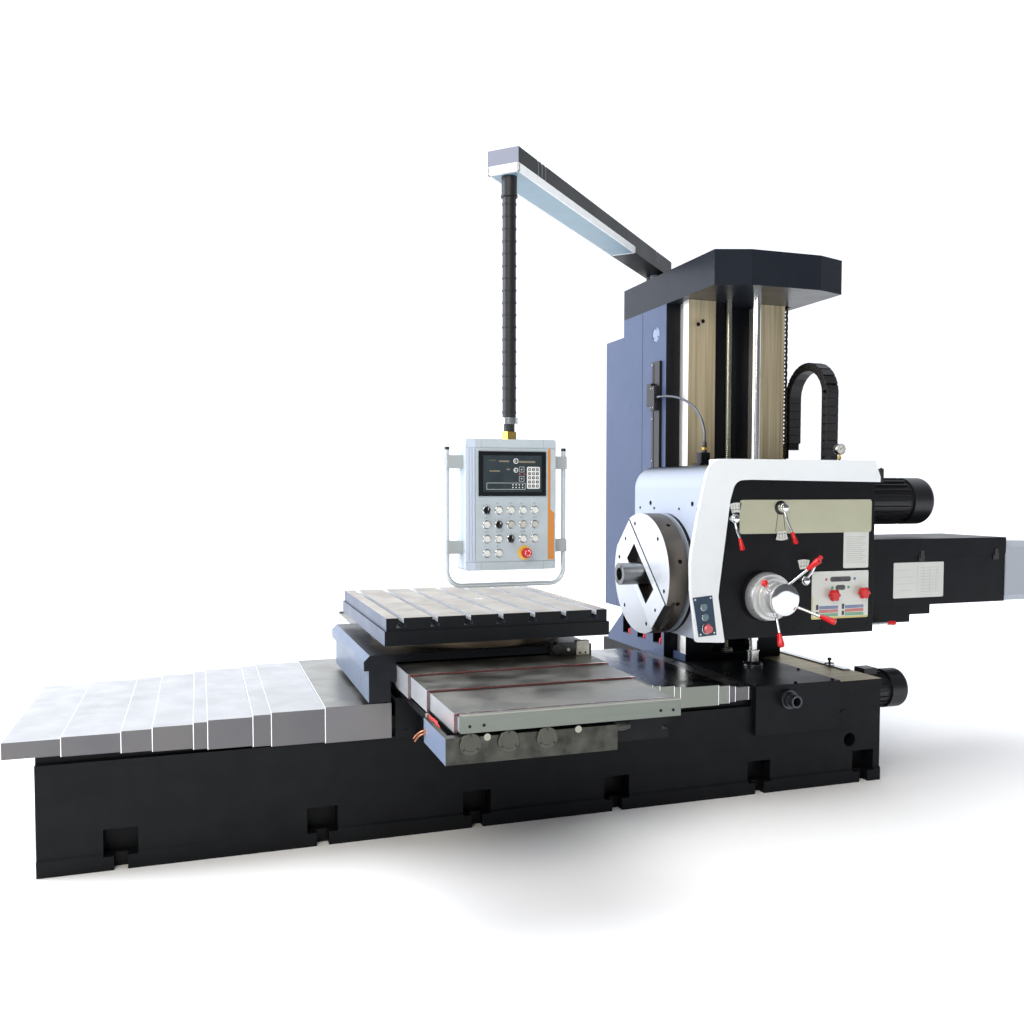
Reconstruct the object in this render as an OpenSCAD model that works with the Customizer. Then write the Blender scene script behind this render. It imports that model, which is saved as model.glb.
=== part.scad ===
// Horizontal boring machine of the table type.
// X runs along the bed towards the column, Y away from the operator, Z up.
// The origin is the centre of the underside of the long bed.

/* [Bed] */
// Length of the long bed
bed_l = 3880; // [3600:10:4400]
// Width of the long bed over its guideways
bed_w = 1060; // [1000:10:1160]
// Height of the guideways above the floor
bed_h = 520; // [480:5:560]
// Width of each flat guideway
bed_way_w = 310; // [260:5:340]

/* [Column] */
// Distance from the middle of the bed to the column's left side
column_x = 1164; // [1150:1:1200]
// Width of the column
column_w = 760; // [740:5:770]
// Depth of the column body behind its front face
column_d = 544; // [500:2:620]
// Height of the column's top above the floor
column_top = 2512; // [2400:4:2700]
// Width of each upright guideway
column_way_w = 168; // [140:2:190]
// Height of the head cover on the column
cap_h = 179; // [150:1:220]

/* [Saddle and table] */
// Size of the table along the bed
table_w = 960; // [900:10:1000]
// Size of the table across the bed
table_d = 1100; // [1000:10:1200]
// Height of the table's face above the floor
table_z = 960; // [950:2:990]
// Thickness of the table
table_t = 110; // [90:2:112]
// Number of T-slots
slot_count = 7; // [5:1:7]
// Distance between T-slots
slot_pitch = 140; // [110:2:140]
// Throat width of a T-slot
slot_w = 22; // [18:1:28]
// Middle of the saddle along the bed
saddle_x = -153; // [-200:1:-100]
// Thickness of the telescopic covers' sheet
sheet_t = 2; // [1.5:0.1:2.2]

/* [Headstock] */
// Height of the spindle axis above the floor
spindle_z = 1056; // [1040:1:1120]
// Distance of the spindle axis from the bed's middle plane
spindle_y = -170; // [-190:1:-160]
// Spindle diameter
spindle_d = 110; // [90:1:120]
// Faceplate diameter
faceplate_d = 600; // [540:5:620]
// Thickness of the faceplate
faceplate_t = 97; // [80:1:110]
// Height of the headstock casting
head_h = 835; // [800:5:860]

/* [Control station] */
// Length of the swivel arm
arm_l = 2050; // [1900:10:2200]
// Width of the swivel arm
arm_w = 140; // [110:2:160]
// Width of the control box
box_w = 390; // [330:5:400]
// Height of the control box
box_h = 535; // [460:5:540]

/* [Hidden] */
$fn = 48;

// Running clearances
slip = 0.05;
gap = 0.5;

// Bed
bed_x0 = -bed_l / 2;
bed_x1 = bed_l / 2;
bed_y = bed_w / 2;
flange_h = 62;
flange_out = 8;
trough_d = 230;
trough_x1 = 1060;
pocket_w = 126;
pocket_z0 = 55;
pocket_z1 = 160;
pocket_d = 90;
bolt_slot_w = 50;
pocket_x = [-1642, -866, -198, 472, 1230, 1838];
plinth_x0 = column_x;
plinth_y1 = 1150;
keeper_z0 = bed_h - 90;
keeper_z1 = bed_h - 52;
keeper_in = 34;
box_x0 = 1190;
box_x1 = 1672;
box_z0 = 290;
box_front = bed_y + 20;
box_back = 60;

// Column
column_x1 = column_x + column_w;
column_y = 330;
column_y1 = column_y + column_d;
wall = 50;
way_front = 183;
way_lip = 60;
way_neck = 30;
way_left = column_x + 57;
way_right = way_left + 446;
cap_top = column_top + cap_h;
cap_wall = 12;
cap_floor = 18;
cap_x1 = column_x1 + 10;
cap_y = -175;
cap_bow = 58;
foot_pocket_y = [411, 611, 809];
foot_pocket_w = 104;
foot_pocket_z0 = bed_h + 71;
foot_pocket_z1 = foot_pocket_z0 + 104;
foot_pocket_d = 80;
guard_z0 = 743;
guard_z1 = 2409;
guard_d = 252;

// Elevating drive and counterweight
lift_x = 1490;
lift_y = 215;
lift_d = 38;
shaft_x = 1478;
shaft_y = -80;
shaft_d = 42;
chain_x = way_right + column_way_w + 23;
chain_y = way_front + 32;
sprocket_r = 100;
sprocket_z = column_top + 48;
sprocket_y = chain_y + sprocket_r;
weight_z0 = 1500;
weight_z1 = 2230;

// Headstock
head_x0 = 905;
head_x1 = 1889;
head_y0 = -515;
head_y1 = 183;
head_z0 = spindle_z - 296;
head_z1 = head_z0 + head_h;
shroud_y = -533;
plate_x = head_x0 - 45 - faceplate_t;
nose_x = plate_x - 117;
hub_d = 320;
quill_d = 200;
carriage_x = 2560;
carriage_l = 160;
spindle_end = 2790;
tail_x1 = 2858;
tail_x2 = 3045;
tail_y0 = spindle_y - 230;
tail_y1 = spindle_y + 230;
tail_z0 = spindle_z - 191;
tail_z1 = spindle_z + 160;
tail_wall = 12;
motor_y = -150;
motor_z = 1412;
motor_d = 256;
slide_angle = -45;
lock_y = -450;
lock_z = 785;
lock_d = 13;
wheel_x = 1246;
wheel_z = 962;
arm_angles = [63:90:333];

// Saddle
saddle_x0 = saddle_x - 470;
saddle_x1 = saddle_x + 470;
guide_x0 = saddle_x0 + 60;
saddle_z = bed_h + 80;
beam_z = bed_h + 170;
beam_half = 380;
beam_y0 = spindle_y - 1290;
beam_y1 = spindle_y + 1290;
beam_x0 = saddle_x - beam_half;
beam_x1 = saddle_x + beam_half;

// Long telescopic covers: step in height, depth and width from one sheet to the next
cover_z = bed_h + 10;
cover_low = bed_h - 54;
step_up = 6.4;
step_down = 4.1;
step_out = sheet_t + 0.4;
cover_half = bed_y + 0.3 + sheet_t;
// visible edges of the sheets, from the fixed end (0) to the one on the saddle (1)
left_from = bed_x0 - 110;
left_to = guide_x0 - 293;
left_edges = [for (s = [0, 0.171, 0.348, 0.443, 0.57, 0.615, 0.76, 0.82, 1]) left_from + s * (left_to - left_from)];
right_from = column_x - 2;
right_to = saddle_x1 + 323;
right_edges = [for (s = [0, 0.144, 0.209, 0.324, 0.716, 0.78, 0.927, 1]) right_from + s * (right_to - right_from)];
lap = 64;

// Cross slide and its covers
slide_z = bed_h + 280;
slide_half = 470;
slide_x0 = saddle_x - 447;
slide_x1 = saddle_x + 443;
pocket_cross = 230;
cross_half = 422;
cross_z = bed_h + 237;
cross_low = bed_h + 143;
cross_edges = [690, 960, 1295, 1330];
cross_lengths = [440, 500, 600, 150];
wing_x0 = saddle_x - 557;
ring_d = 880;
table_z0 = table_z - table_t;
hub_bore = 200;

// Control station
pivot_x = 1304;
pivot_y = 723;
arm_angle = 225;
arm_z0 = cap_top + 95;
arm_h = 64;
lamp_t = 31;
lamp_l = 1450;
tube_d = 56;
tube_r = arm_l - 57;
tube_x = pivot_x + tube_r * cos(arm_angle);
tube_y = pivot_y + tube_r * sin(arm_angle);
box_d = 125;
box_top = 1679;
box_bottom = box_top - box_h;
box_face = tube_y - box_d / 2;
button_rows = [508, 522.7, 537, 552];

module block(a, b) {
  translate(a) cube(b - a);
}
module bar_x(x0, x1, y, z, d) {
  translate([x0, y, z]) rotate([0, 90, 0]) cylinder(h = x1 - x0, d = d);
}
module bar_y(x, y0, y1, z, d) {
  translate([x, y1, z]) rotate([90, 0, 0]) cylinder(h = y1 - y0, d = d);
}
module bar_z(x, y, z0, z1, d) {
  translate([x, y, z0]) cylinder(h = z1 - z0, d = d);
}
// A plan outline given as [y, z] points, drawn out along X
module along_x(x0, x1) {
  translate([x0, 0, 0]) rotate([90, 0, 90]) linear_extrude(x1 - x0) children();
}
// A front outline given as [x, z] points, drawn out along Y
module along_y(y0, y1) {
  translate([0, y1, 0]) rotate([90, 0, 0]) linear_extrude(y1 - y0) children();
}
// Rectangle with true round corners, centred
module round_rect(w, h, r) {
  square([w - 2 * r, h], center = true);
  square([w, h - 2 * r], center = true);
  for (x = [-1, 1], y = [-1, 1])
    translate([x * (w / 2 - r), y * (h / 2 - r)]) circle(r);
}

// ---- Bed ----
module bed() {
  color("dimgray") difference() {
    union() {
      along_x(bed_x0, bed_x1) polygon([
        [-bed_y, 0], [bed_y, 0], [bed_y, flange_h], [bed_y - flange_out, flange_h + flange_out],
        [bed_y - flange_out, keeper_z0], [bed_y - keeper_in, keeper_z0],
        [bed_y - keeper_in, keeper_z1], [bed_y, keeper_z1], [bed_y, bed_h],
        [-bed_y, bed_h], [-bed_y, keeper_z1], [-bed_y + keeper_in, keeper_z1],
        [-bed_y + keeper_in, keeper_z0], [-bed_y + flange_out, keeper_z0],
        [-bed_y + flange_out, flange_h + flange_out], [-bed_y, flange_h]]);
      block([plinth_x0, bed_y - 60, 0], [bed_x1, plinth_y1, bed_h]);
      // solid right end under the column and the feed gearbox
      block([plinth_x0 + 20, -bed_y + flange_out, flange_h], [bed_x1, bed_y, bed_h]);
      bar_y(1728, -bed_y - 4 + flange_out, -bed_y + 40, 329, 92);
    }
    // trough for the feed screw
    block([bed_x0 + 60, -bed_y + bed_way_w, bed_h - trough_d],
          [trough_x1, bed_y - bed_way_w, bed_h + 1]);
    bar_x(bed_x0 - 1, bed_x0 + 61, 0, bed_h - 100, 50 + 2 * slip);
    bar_x(trough_x1 - 1, bed_x1 - 200, 0, bed_h - 100, 50 + 2 * slip);
    // seat of the feed gearbox
    block([box_x0 + 40, -bed_y - 1, box_z0 + 20], [box_x1 - 40, box_back, bed_h + 1]);
    for (x = pocket_x, s = [-1, 1]) foundation_pocket(x, s);
    for (y = [700, 1000]) {
      block([bed_x1 - pocket_d, y - pocket_w / 2, pocket_z0],
            [bed_x1 + 1, y + pocket_w / 2, pocket_z1]);
      block([bed_x1 - 40, y - bolt_slot_w / 2, -1], [bed_x1 + 1, y + bolt_slot_w / 2, pocket_z0 + 1]);
    }
    bar_y(1756, -bed_y - 1, -bed_y + 140, 219, 68);
    for (x = [1300, 1600], y = [640]) bar_z(x, y, -1, 60, 40);
  }
}
module foundation_pocket(x, side) {
  y0 = side > 0 ? bed_y - pocket_d : -bed_y - 1;
  y1 = side > 0 ? (x > plinth_x0 ? bed_y - 80 : bed_y + 1) : -bed_y + pocket_d;
  if (side < 0 || x < plinth_x0) {
    block([x - pocket_w / 2, y0, pocket_z0], [x + pocket_w / 2, y1, pocket_z1]);
    block([x - bolt_slot_w / 2, side > 0 ? bed_y - 45 : -bed_y - 1, -1],
          [x + bolt_slot_w / 2, side > 0 ? bed_y + 1 : -bed_y + 45, pocket_z0 + 1]);
  }
}

module bed_gearbox() {
  color("#2a2c30") difference() {
    union() {
      block([box_x0, -box_front, box_z0], [box_x1, -bed_y, bed_h + 11]);
      block([box_x0, -bed_y, bed_h], [box_x1, box_back, bed_h + 11]);
      block([box_x0 + 42, -bed_y, box_z0 + 22], [box_x1 - 42, box_back - 2, bed_h]);
      // collar of the upright shaft
      bar_z(shaft_x, shaft_y, bed_h + 11, bed_h + 36, 84);
      // stepped socket for the hand crank
      bar_y(1366, -box_front - 22, -box_front, 460, 92);
      bar_y(1366, -box_front - 46, -box_front - 22, 460, 74);
      bar_y(1366, -box_front - 78, -box_front - 46, 460, 60);
    }
    bar_y(1366, -box_front - 79, -box_front - 20, 460, 42);
    bar_z(shaft_x, shaft_y, bed_h - 60, bed_h + 40, shaft_d + 2 * slip);
    bar_x(box_x0 - 1, box_x1 + 1, 0, bed_h - 100, 52);
  }
}

// Fan cowl of a motor: a drum along X whose outer corner is rolled over
module fan_cowl(x0, x1, y, z, d) {
  r = d / 8;
  translate([x0, y, z]) rotate([0, 90, 0]) rotate_extrude() {
    square([d / 2 - r, x1 - x0]);
    square([d / 2, x1 - x0 - r]);
    translate([d / 2 - r, x1 - x0 - r]) circle(r);
  }
}
module feed_motor() {
  y = -300;
  z = 412;
  color("#232427") {
    along_x(bed_x1, bed_x1 + 18) translate([y, z]) round_rect(200, 190, 22);
    bar_x(bed_x1 + 18, bed_x1 + 185, y, z, 176);
    for (a = [0:20:340])
      translate([bed_x1 + 24, y, z]) rotate([a, 0, 0]) block([0, 84, -2.5], [150, 95, 2.5]);
    fan_cowl(bed_x1 + 185, bed_x1 + 295, y, z, 206);
    block([bed_x1 + 50, y - 40, z + 84], [bed_x1 + 130, y + 40, z + 118]);
  }
}

// ---- Column ----
module upright_way(x) {
  block([x, way_front, bed_h + 40], [x + column_way_w, way_front + way_lip, column_top]);
  block([x + way_neck, way_front + way_lip, bed_h + 40],
        [x + column_way_w - way_neck, column_y + 1, column_top]);
}
module column() {
  color("#6f7889") difference() {
    union() {
      block([column_x, column_y, bed_h], [column_x1, column_y1, column_top]);
      upright_way(way_left);
      upright_way(way_right);
      // foot under the ways
      block([column_x + 57, way_front + 2, bed_h], [way_right + column_way_w, column_y + 1, bed_h + 40]);
      // rear gussets
      for (x = [column_x, column_x1 - 40])
        along_x(x, x + 40) polygon([[column_y1 - 1, bed_h], [column_y1 + 205, bed_h],
          [column_y1 + 205, bed_h + 30], [column_y1 - 1, bed_h + 190]]);
    }
    // hollow for the counterweight
    block([column_x + wall, column_y + wall, bed_h + 110],
          [column_x1 - 30, column_y1 - wall, column_top + 1]);
    // slot for the sprocket in the front wall
    block([chain_x - 28, column_y - 1, sprocket_z - sprocket_r - 20],
          [chain_x + 28, column_y + wall + 1, column_top + 1]);
    // pockets over the anchor bolts
    for (y = foot_pocket_y) {
      block([column_x - 1, y - foot_pocket_w / 2, foot_pocket_z0],
            [column_x + foot_pocket_d, y + foot_pocket_w / 2, foot_pocket_z1]);
      block([column_x1 - foot_pocket_d, y - foot_pocket_w / 2, foot_pocket_z0],
            [column_x1 + 1, y + foot_pocket_w / 2, foot_pocket_z1]);
    }
    // vertical seam along the side
    block([column_x - 1, 618, foot_pocket_z1 + 40], [column_x + 3, 622, column_top - 6]);
    bar_x(column_x - 1, column_x + 2, 453, 2360, 86);
  }
}

module cap_outline(inset) {
  x0 = column_x + inset;
  x1 = cap_x1 - inset;
  y1 = column_y1 - inset;
  y0 = cap_y + inset;
  polygon([[x0, y1], [x0, y0], [x0 + 181, y0 - cap_bow], [x1 - 175, y0 - cap_bow], [x1, y0], [x1, y1]]);
}
module column_cap() {
  color("#3a3d45") difference() {
    union() {
      difference() {
        translate([0, 0, column_top]) linear_extrude(cap_h) cap_outline(0);
        translate([0, 0, column_top + cap_floor]) linear_extrude(cap_h - cap_floor - cap_wall)
          cap_outline(cap_wall);
      }
      // bearing plates of the sprocket
      for (s = [-1, 1])
        block([chain_x + s * 34 - 7, sprocket_y - 40, column_top + 2],
              [chain_x + s * 34 + 7, sprocket_y + 40, cap_top - 2]);
    }
    bar_x(chain_x - 45, chain_x + 45, sprocket_y, sprocket_z, 30);
    block([chain_x - 26, chain_y - 22, column_top - 1],
          [chain_x + 26, sprocket_y + sprocket_r + 30, column_top + cap_floor + 2]);
    bar_z(lift_x, lift_y, column_top - 1, column_top + cap_floor + 1, lift_d + 2 * slip);
    bar_z(shaft_x, shaft_y, column_top - 1, column_top + cap_floor + 1, shaft_d + 2 * slip);
  }
}

module rear_guard() {
  color("#626b7c") difference() {
    block([column_x, column_y1, guard_z0], [column_x1, column_y1 + guard_d, guard_z1]);
    block([column_x + 4, column_y1 - 1, guard_z0 + 4], [column_x1 - 4, column_y1 + guard_d - 4, guard_z1 - 4]);
  }
}

module anchor_bolt(x, y) {
  z = foot_pocket_z0;
  bar_z(x, y, z, z + 8, 56);
  translate([x, y, z + 8]) cylinder(h = 24, d = 48, $fn = 6);
  bar_z(x, y, z + 32, z + 62, 34);
}
module column_fittings() {
  color("firebrick") for (y = foot_pocket_y) {
    anchor_bolt(column_x + 38, y - 12);
    anchor_bolt(column_x1 - 38, y - 12);
  }
  // linear scale on the side of the column
  color("#202226") difference() {
    block([column_x - 16, 378, 1060], [column_x, 470, 2203]);
    block([column_x - 17, 440, 1080], [column_x - 10, 448, 2190]);
  }
  // reading head and its clamp
  color("#303238") {
    block([column_x - 46, 384, 1925], [column_x - 16, 434, 2062]);
    block([column_x - 40, 434, 1950], [column_x - 16, 486, 2080]);
    bar_y(column_x - 31, 366, 384, 1996, 18);
  }
}
module reader_hose() {
  // armoured hose from the reading head to the gland on the headstock
  color("#9aa0a8") polyhedron(points = hose_points, faces = hose_faces);
}
hose_route = [[1133, 365.5, 1996], [1133, 330, 1996], [1133, 250, 1990], [1134, 150, 1975],
              [1136, 50, 1945], [1138, -40, 1898], [1140, -100, 1838], [1141, -128, 1780], [1141, -134, 1723.3]];
hose_sides = 10;
hose_r = 7;
function hose_dir(i) = let (a = hose_route[max(i - 1, 0)], b = hose_route[min(i + 1, len(hose_route) - 1)],
                            d = b - a) d / norm(d);
hose_points = [for (i = [0:len(hose_route) - 1]) let (d = hose_dir(i), u = [1, 0, 0], v = cross(d, u))
  for (k = [0:hose_sides - 1]) hose_route[i]
    + hose_r * (cos(360 * k / hose_sides) * u + sin(360 * k / hose_sides) * v / norm(v))];
hose_faces = concat(
  [[for (k = [hose_sides - 1:-1:0]) k]],
  [[for (k = [0:hose_sides - 1]) (len(hose_route) - 1) * hose_sides + k]],
  [for (i = [0:len(hose_route) - 2], k = [0:hose_sides - 1]) let (n = (k + 1) % hose_sides)
    [i * hose_sides + k, i * hose_sides + n, (i + 1) * hose_sides + n, (i + 1) * hose_sides + k]]);

// ---- Feed screw, elevating screw and shafts ----
module bed_screw() {
  color("silver") {
    bar_x(bed_x0 + 20, bed_x1 - 260, 0, bed_h - 100, 50);
    bar_x(bed_x0 + 61, bed_x0 + 85, 0, bed_h - 100, 84);
    bar_x(trough_x1 - 40, trough_x1 - 1, 0, bed_h - 100, 84);
  }
}
module elevation_screw() {
  color("silver") {
    bar_z(lift_x, lift_y, bed_h + 40, column_top + 12, lift_d);
    bar_z(lift_x, lift_y, bed_h + 40, bed_h + 64, 90);
  }
}
module drive_shaft() {
  color("silver") {
    bar_z(shaft_x, shaft_y, bed_h - 50, column_top + 12, shaft_d);
    bar_z(shaft_x, shaft_y, bed_h + 37, bed_h + 92, 60);
    bar_z(shaft_x, shaft_y, bed_h + 92, bed_h + 98, 70);
    bar_z(shaft_x, shaft_y, bed_h + 150, bed_h + 190, 54);
  }
}
module counterweight() {
  color("dimgray") difference() {
    union() {
      block([column_x + wall + 8, column_y + wall + 8, weight_z0],
            [chain_x - 40, column_y1 - wall - 10, weight_z1]);
      block([chain_x - 42, sprocket_y + sprocket_r - 14, weight_z1 - 160],
            [chain_x + 16, sprocket_y + sprocket_r + 14, weight_z1 - 20]);
    }
  }
}
module chain_sprocket() {
  color("gray") difference() {
    union() {
      bar_x(chain_x - 8, chain_x + 8, sprocket_y, sprocket_z, 2 * sprocket_r - 40);
      bar_x(chain_x - 26.5, chain_x + 26.5, sprocket_y, sprocket_z, 60);
      bar_x(chain_x - 42, chain_x + 42, sprocket_y, sprocket_z, 30 - 2 * slip);
      for (a = [0:30:330])
        translate([chain_x - 4, sprocket_y, sprocket_z]) rotate([a, 0, 0])
          block([0, -5, sprocket_r - 24], [8, 5, sprocket_r - 6.5]);
    }
  }
}
module lift_chain() {
  z0 = weight_z1 - 20;
  hang = head_z1 + 22;
  color("dimgray") {
    for (s = [-1, 1]) {
      x0 = chain_x + s * 14 - 3;
      block([x0, chain_y - 10, hang], [x0 + 6, chain_y + 10, sprocket_z]);
      block([x0, sprocket_y + sprocket_r - 10, z0], [x0 + 6, sprocket_y + sprocket_r + 10, sprocket_z]);
      difference() {
        bar_x(x0, x0 + 6, sprocket_y, sprocket_z, 2 * sprocket_r + 20);
        bar_x(x0 - 1, x0 + 7, sprocket_y, sprocket_z, 2 * sprocket_r - 20);
        block([x0 - 1, chain_y - 20, sprocket_z - sprocket_r - 20],
              [x0 + 7, sprocket_y + sprocket_r + 20, sprocket_z]);
      }
    }
    for (a = [0:30:180]) translate([chain_x, sprocket_y, sprocket_z]) rotate([a - 90, 0, 0])
      bar_x(-12, 12, 0, sprocket_r, 12);
    for (z = [hang + 12:44:sprocket_z - 30])
      bar_x(chain_x - 12, chain_x + 12, chain_y, z, 12);
    for (z = [z0 + 12:44:sprocket_z - 30])
      bar_x(chain_x - 12, chain_x + 12, sprocket_y + sprocket_r, z, 12);
  }
}

// ---- Cable chain beside the headstock ----
loop_x0 = cap_x1 + 3;
loop_x1 = loop_x0 + 62;
loop_y = 117;
loop_r = 166;
loop_z = 1999;
link_t = 56;
leg_z0 = head_z1 - 42;
fixed_z0 = 1745;
module chain_links(y, z0, z1) {
  step = 46;
  block([loop_x0 + 3, y - link_t / 2 + 4, z0], [loop_x1 - 3, y + link_t / 2 - 4, z1]);
  for (z = [z0:step:z1 - 20])
    block([loop_x0, y - link_t / 2, z], [loop_x1, y + link_t / 2, min(z + step - 5, z1)]);
}
module cable_chain_fixed() {
  color("#1b1c1e") {
    chain_links(loop_y + loop_r, fixed_z0, loop_z);
    block([column_x1, loop_y + loop_r - 20, fixed_z0 - 40], [loop_x1, loop_y + loop_r + 20, fixed_z0]);
    block([column_x1, loop_y + loop_r - 20, fixed_z0 - 90], [column_x1 + 6, column_y + 60, fixed_z0]);
  }
}
module cable_chain_bend() {
  color("#1b1c1e") difference() {
    bar_x(loop_x0, loop_x1, loop_y, loop_z, 2 * loop_r + link_t);
    bar_x(loop_x0 - 1, loop_x1 + 1, loop_y, loop_z, 2 * loop_r - link_t);
    block([loop_x0 - 1, loop_y - 300, loop_z - 300], [loop_x1 + 1, loop_y + 300, loop_z]);
  }
}
module cable_chain_moving() {
  color("#1b1c1e") chain_links(loop_y - loop_r, leg_z0 + 8, loop_z);
}

// ---- Headstock ----
module head_outline(grow) {
  r = 115;
  difference() {
    union() {
      translate([head_x0 - grow, head_z0]) square([head_x1 - head_x0 + grow, head_h - r]);
      translate([head_x0 + r, head_z0]) square([head_x1 - head_x0 - r, head_h + grow]);
      translate([head_x0 + r, head_z1 - r]) circle(r + grow);
    }
  }
}
module way_guide(x, side) {
  // L-shaped keeper behind one edge of an upright guideway
  e = side > 0 ? x + column_way_w + slip : x - slip;
  for (z = [head_z0, head_z1 - 240]) {
    block([min(e, e + side * 26), way_front, z], [max(e, e + side * 26), way_front + way_lip + 32, z + 240]);
    block([min(e + side * 26, e - side * (way_neck - 8)), way_front + way_lip + slip, z],
          [max(e + side * 26, e - side * (way_neck - 8)), way_front + way_lip + 32, z + 240]);
  }
}
module headstock() {
  color("#26282c") difference() {
    union() {
      along_y(head_y0, head_y1) head_outline(0);
      for (x = [way_left, way_right], s = [-1, 1]) way_guide(x, s);
      // raised ring round the facing head
      bar_x(head_x0 - 18, head_x0, spindle_y, spindle_z, hub_d + 280);
      // nut and lug for the elevating screw and the chain
      block([lift_x - 60, head_y1, head_z0 + 60], [lift_x + 60, lift_y + 50, head_z0 + 260]);
      block([chain_x - 22, head_y1, head_z1 - 120], [head_x1, chain_y + 26, head_z1]);
      // eye the chain hangs from
      block([chain_x - 10, chain_y - 12, head_z1], [chain_x + 10, chain_y + 12, head_z1 + 20]);
      // shelf of the cable chain
      block([head_x1 - 60, loop_y - loop_r - 30, leg_z0 - 8], [loop_x1, loop_y - loop_r + 30, leg_z0 + 8]);
      // packing between the headstock and its tail
      block([head_x1, tail_y0, tail_z0], [head_x1 + 3, tail_y1, tail_z1]);
    }
    bar_x(head_x0 - 20, head_x0 + 260, spindle_y, spindle_z, hub_d + 2 * slip);
    bar_x(head_x0 + 259, head_x1 + 10, spindle_y, spindle_z, spindle_d + 24);
    bar_z(shaft_x, shaft_y, head_z0 - 1, head_z1 + 1, shaft_d + 10);
    bar_z(lift_x, lift_y, head_z0, head_z1, lift_d + 2 * slip);
    bar_y(wheel_x, head_y0 - 1, head_y0 + 60, wheel_z, 48 + 2 * slip);
    bar_x(head_x1 - 80, head_x1 + 1, lock_y, lock_z, lock_d + 2 * slip);
    // tapped holes for lifting eyes on the left side
    for (y = [2, -428]) bar_x(head_x0 - 1, head_x0 + 20, y, 1406, 16);
  }
}

module shroud_outline() {
  difference() {
    polygon([[992, head_z1 + 24], [1865, head_z1 + 24], [1907, head_z1 - 57], [1907, head_z1 - 81],
      [1114, head_z1 - 81], [1062, head_z1 - 98], [1040, head_z1 - 150], [980, head_z0 + 318],
      [977, head_z0 + 283], [1014, head_z0 - 6], [866, head_z0 + 12], [834, head_z0 + 225],
      [833, head_z0 + 409], [869, head_z0 + 542], [898, head_z1 - 90], [912, head_z1 - 32],
      [944, head_z1 + 8]]);
  }
}
module front_shroud() {
  color("white") difference() {
    union() {
      along_y(shroud_y, head_y0) shroud_outline();
      // return of the shroud round the side
      translate([0, 0, head_z0 + 30]) linear_extrude(head_h - 160)
        polygon([[846, head_y0], [head_x0, head_y0], [head_x0, head_y0 + 112]]);
      // top flange
      block([head_x0 + 105, head_y0, head_z1], [head_x1 - 20, head_y0 + 100, head_z1 + 24]);
    }
    head_button_bores();
    // clearance for the ring behind the faceplate
    bar_x(head_x0 - 200, head_x0 + 1, spindle_y, spindle_z, hub_d + 282);
  }
}

module control_plates() {
  f = head_y0;
  // backing plate of the headstock's buttons
  color("#1d2b3a") difference() {
    along_y(shroud_y - 4, shroud_y)
      polygon([[850, head_z0 + 209], [953, head_z0 + 217], [979, head_z0 + 29], [883, head_z0 + 23]]);
    head_button_bores();
  }
  // long decorative plate
  color("#b9b39c") along_y(f - 4, f) translate([1488, 1344]) round_rect(760, 163, 14);
  // chart plate of the speed selectors
  color("gainsboro") along_y(f - 4, f) translate([1688, 953]) round_rect(335, 236, 8);
  // dial ring of the hand wheel
  color("#1d1e20") difference() {
    bar_y(wheel_x, f - 26, f, wheel_z, 340);
    bar_y(wheel_x, f - 27, f + 1, wheel_z, 60);
  }
  // quadrant plates of the levers
  color("gainsboro") {
    quadrant(1068, 1337, 66);
    quadrant(1335, 1387, -104);
    quadrant(1465, 1031, 74);
  }
  // oil gauge on its stem
  color("silver") {
    bar_z(1872, -260, head_z1, head_z1 + 66, 12);
    bar_y(1872, -276, -244, head_z1 + 92, 58);
    block([1858, -274, head_z1], [1886, -246, head_z1 + 16]);
  }
  // gland of the reading head's hose
  color("#3c3f45") {
    block([1090, -178, head_z1], [1200, -92, head_z1 + 14]);
    block([1106, -160, head_z1 + 14], [1160, -108, head_z1 + 70]);
    bar_z(1141, -134, head_z1 + 70, head_z1 + 127, 26);
  }
}
module quadrant(x, z, rise) {
  h = 46;
  z0 = rise > 0 ? z + rise - h / 2 : z + rise - h / 2;
  along_y(head_y0 - 5, head_y0) translate([x, z0 + h / 2]) round_rect(60, h, 6);
}

module main_motor() {
  l = 600;
  x0 = head_x1;
  color("#1c1d1f") {
    along_x(x0, x0 + 24) translate([motor_y, motor_z]) round_rect(motor_d, motor_d, 40);
    bar_x(x0 + 24, x0 + l - 130, motor_y, motor_z, motor_d - 30);
    for (a = [0:15:345])
      translate([x0 + 40, motor_y, motor_z]) rotate([a, 0, 0])
        block([0, motor_d / 2 - 18, -2.5], [l - 190, motor_d / 2, 2.5]);
    fan_cowl(x0 + l - 130, x0 + l + 12, motor_y, motor_z, motor_d);
    block([x0 + 120, motor_y - 75, motor_z + motor_d / 2 - 30],
          [x0 + 300, motor_y + 75, motor_z + motor_d / 2 + 48]);
  }
}

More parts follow.
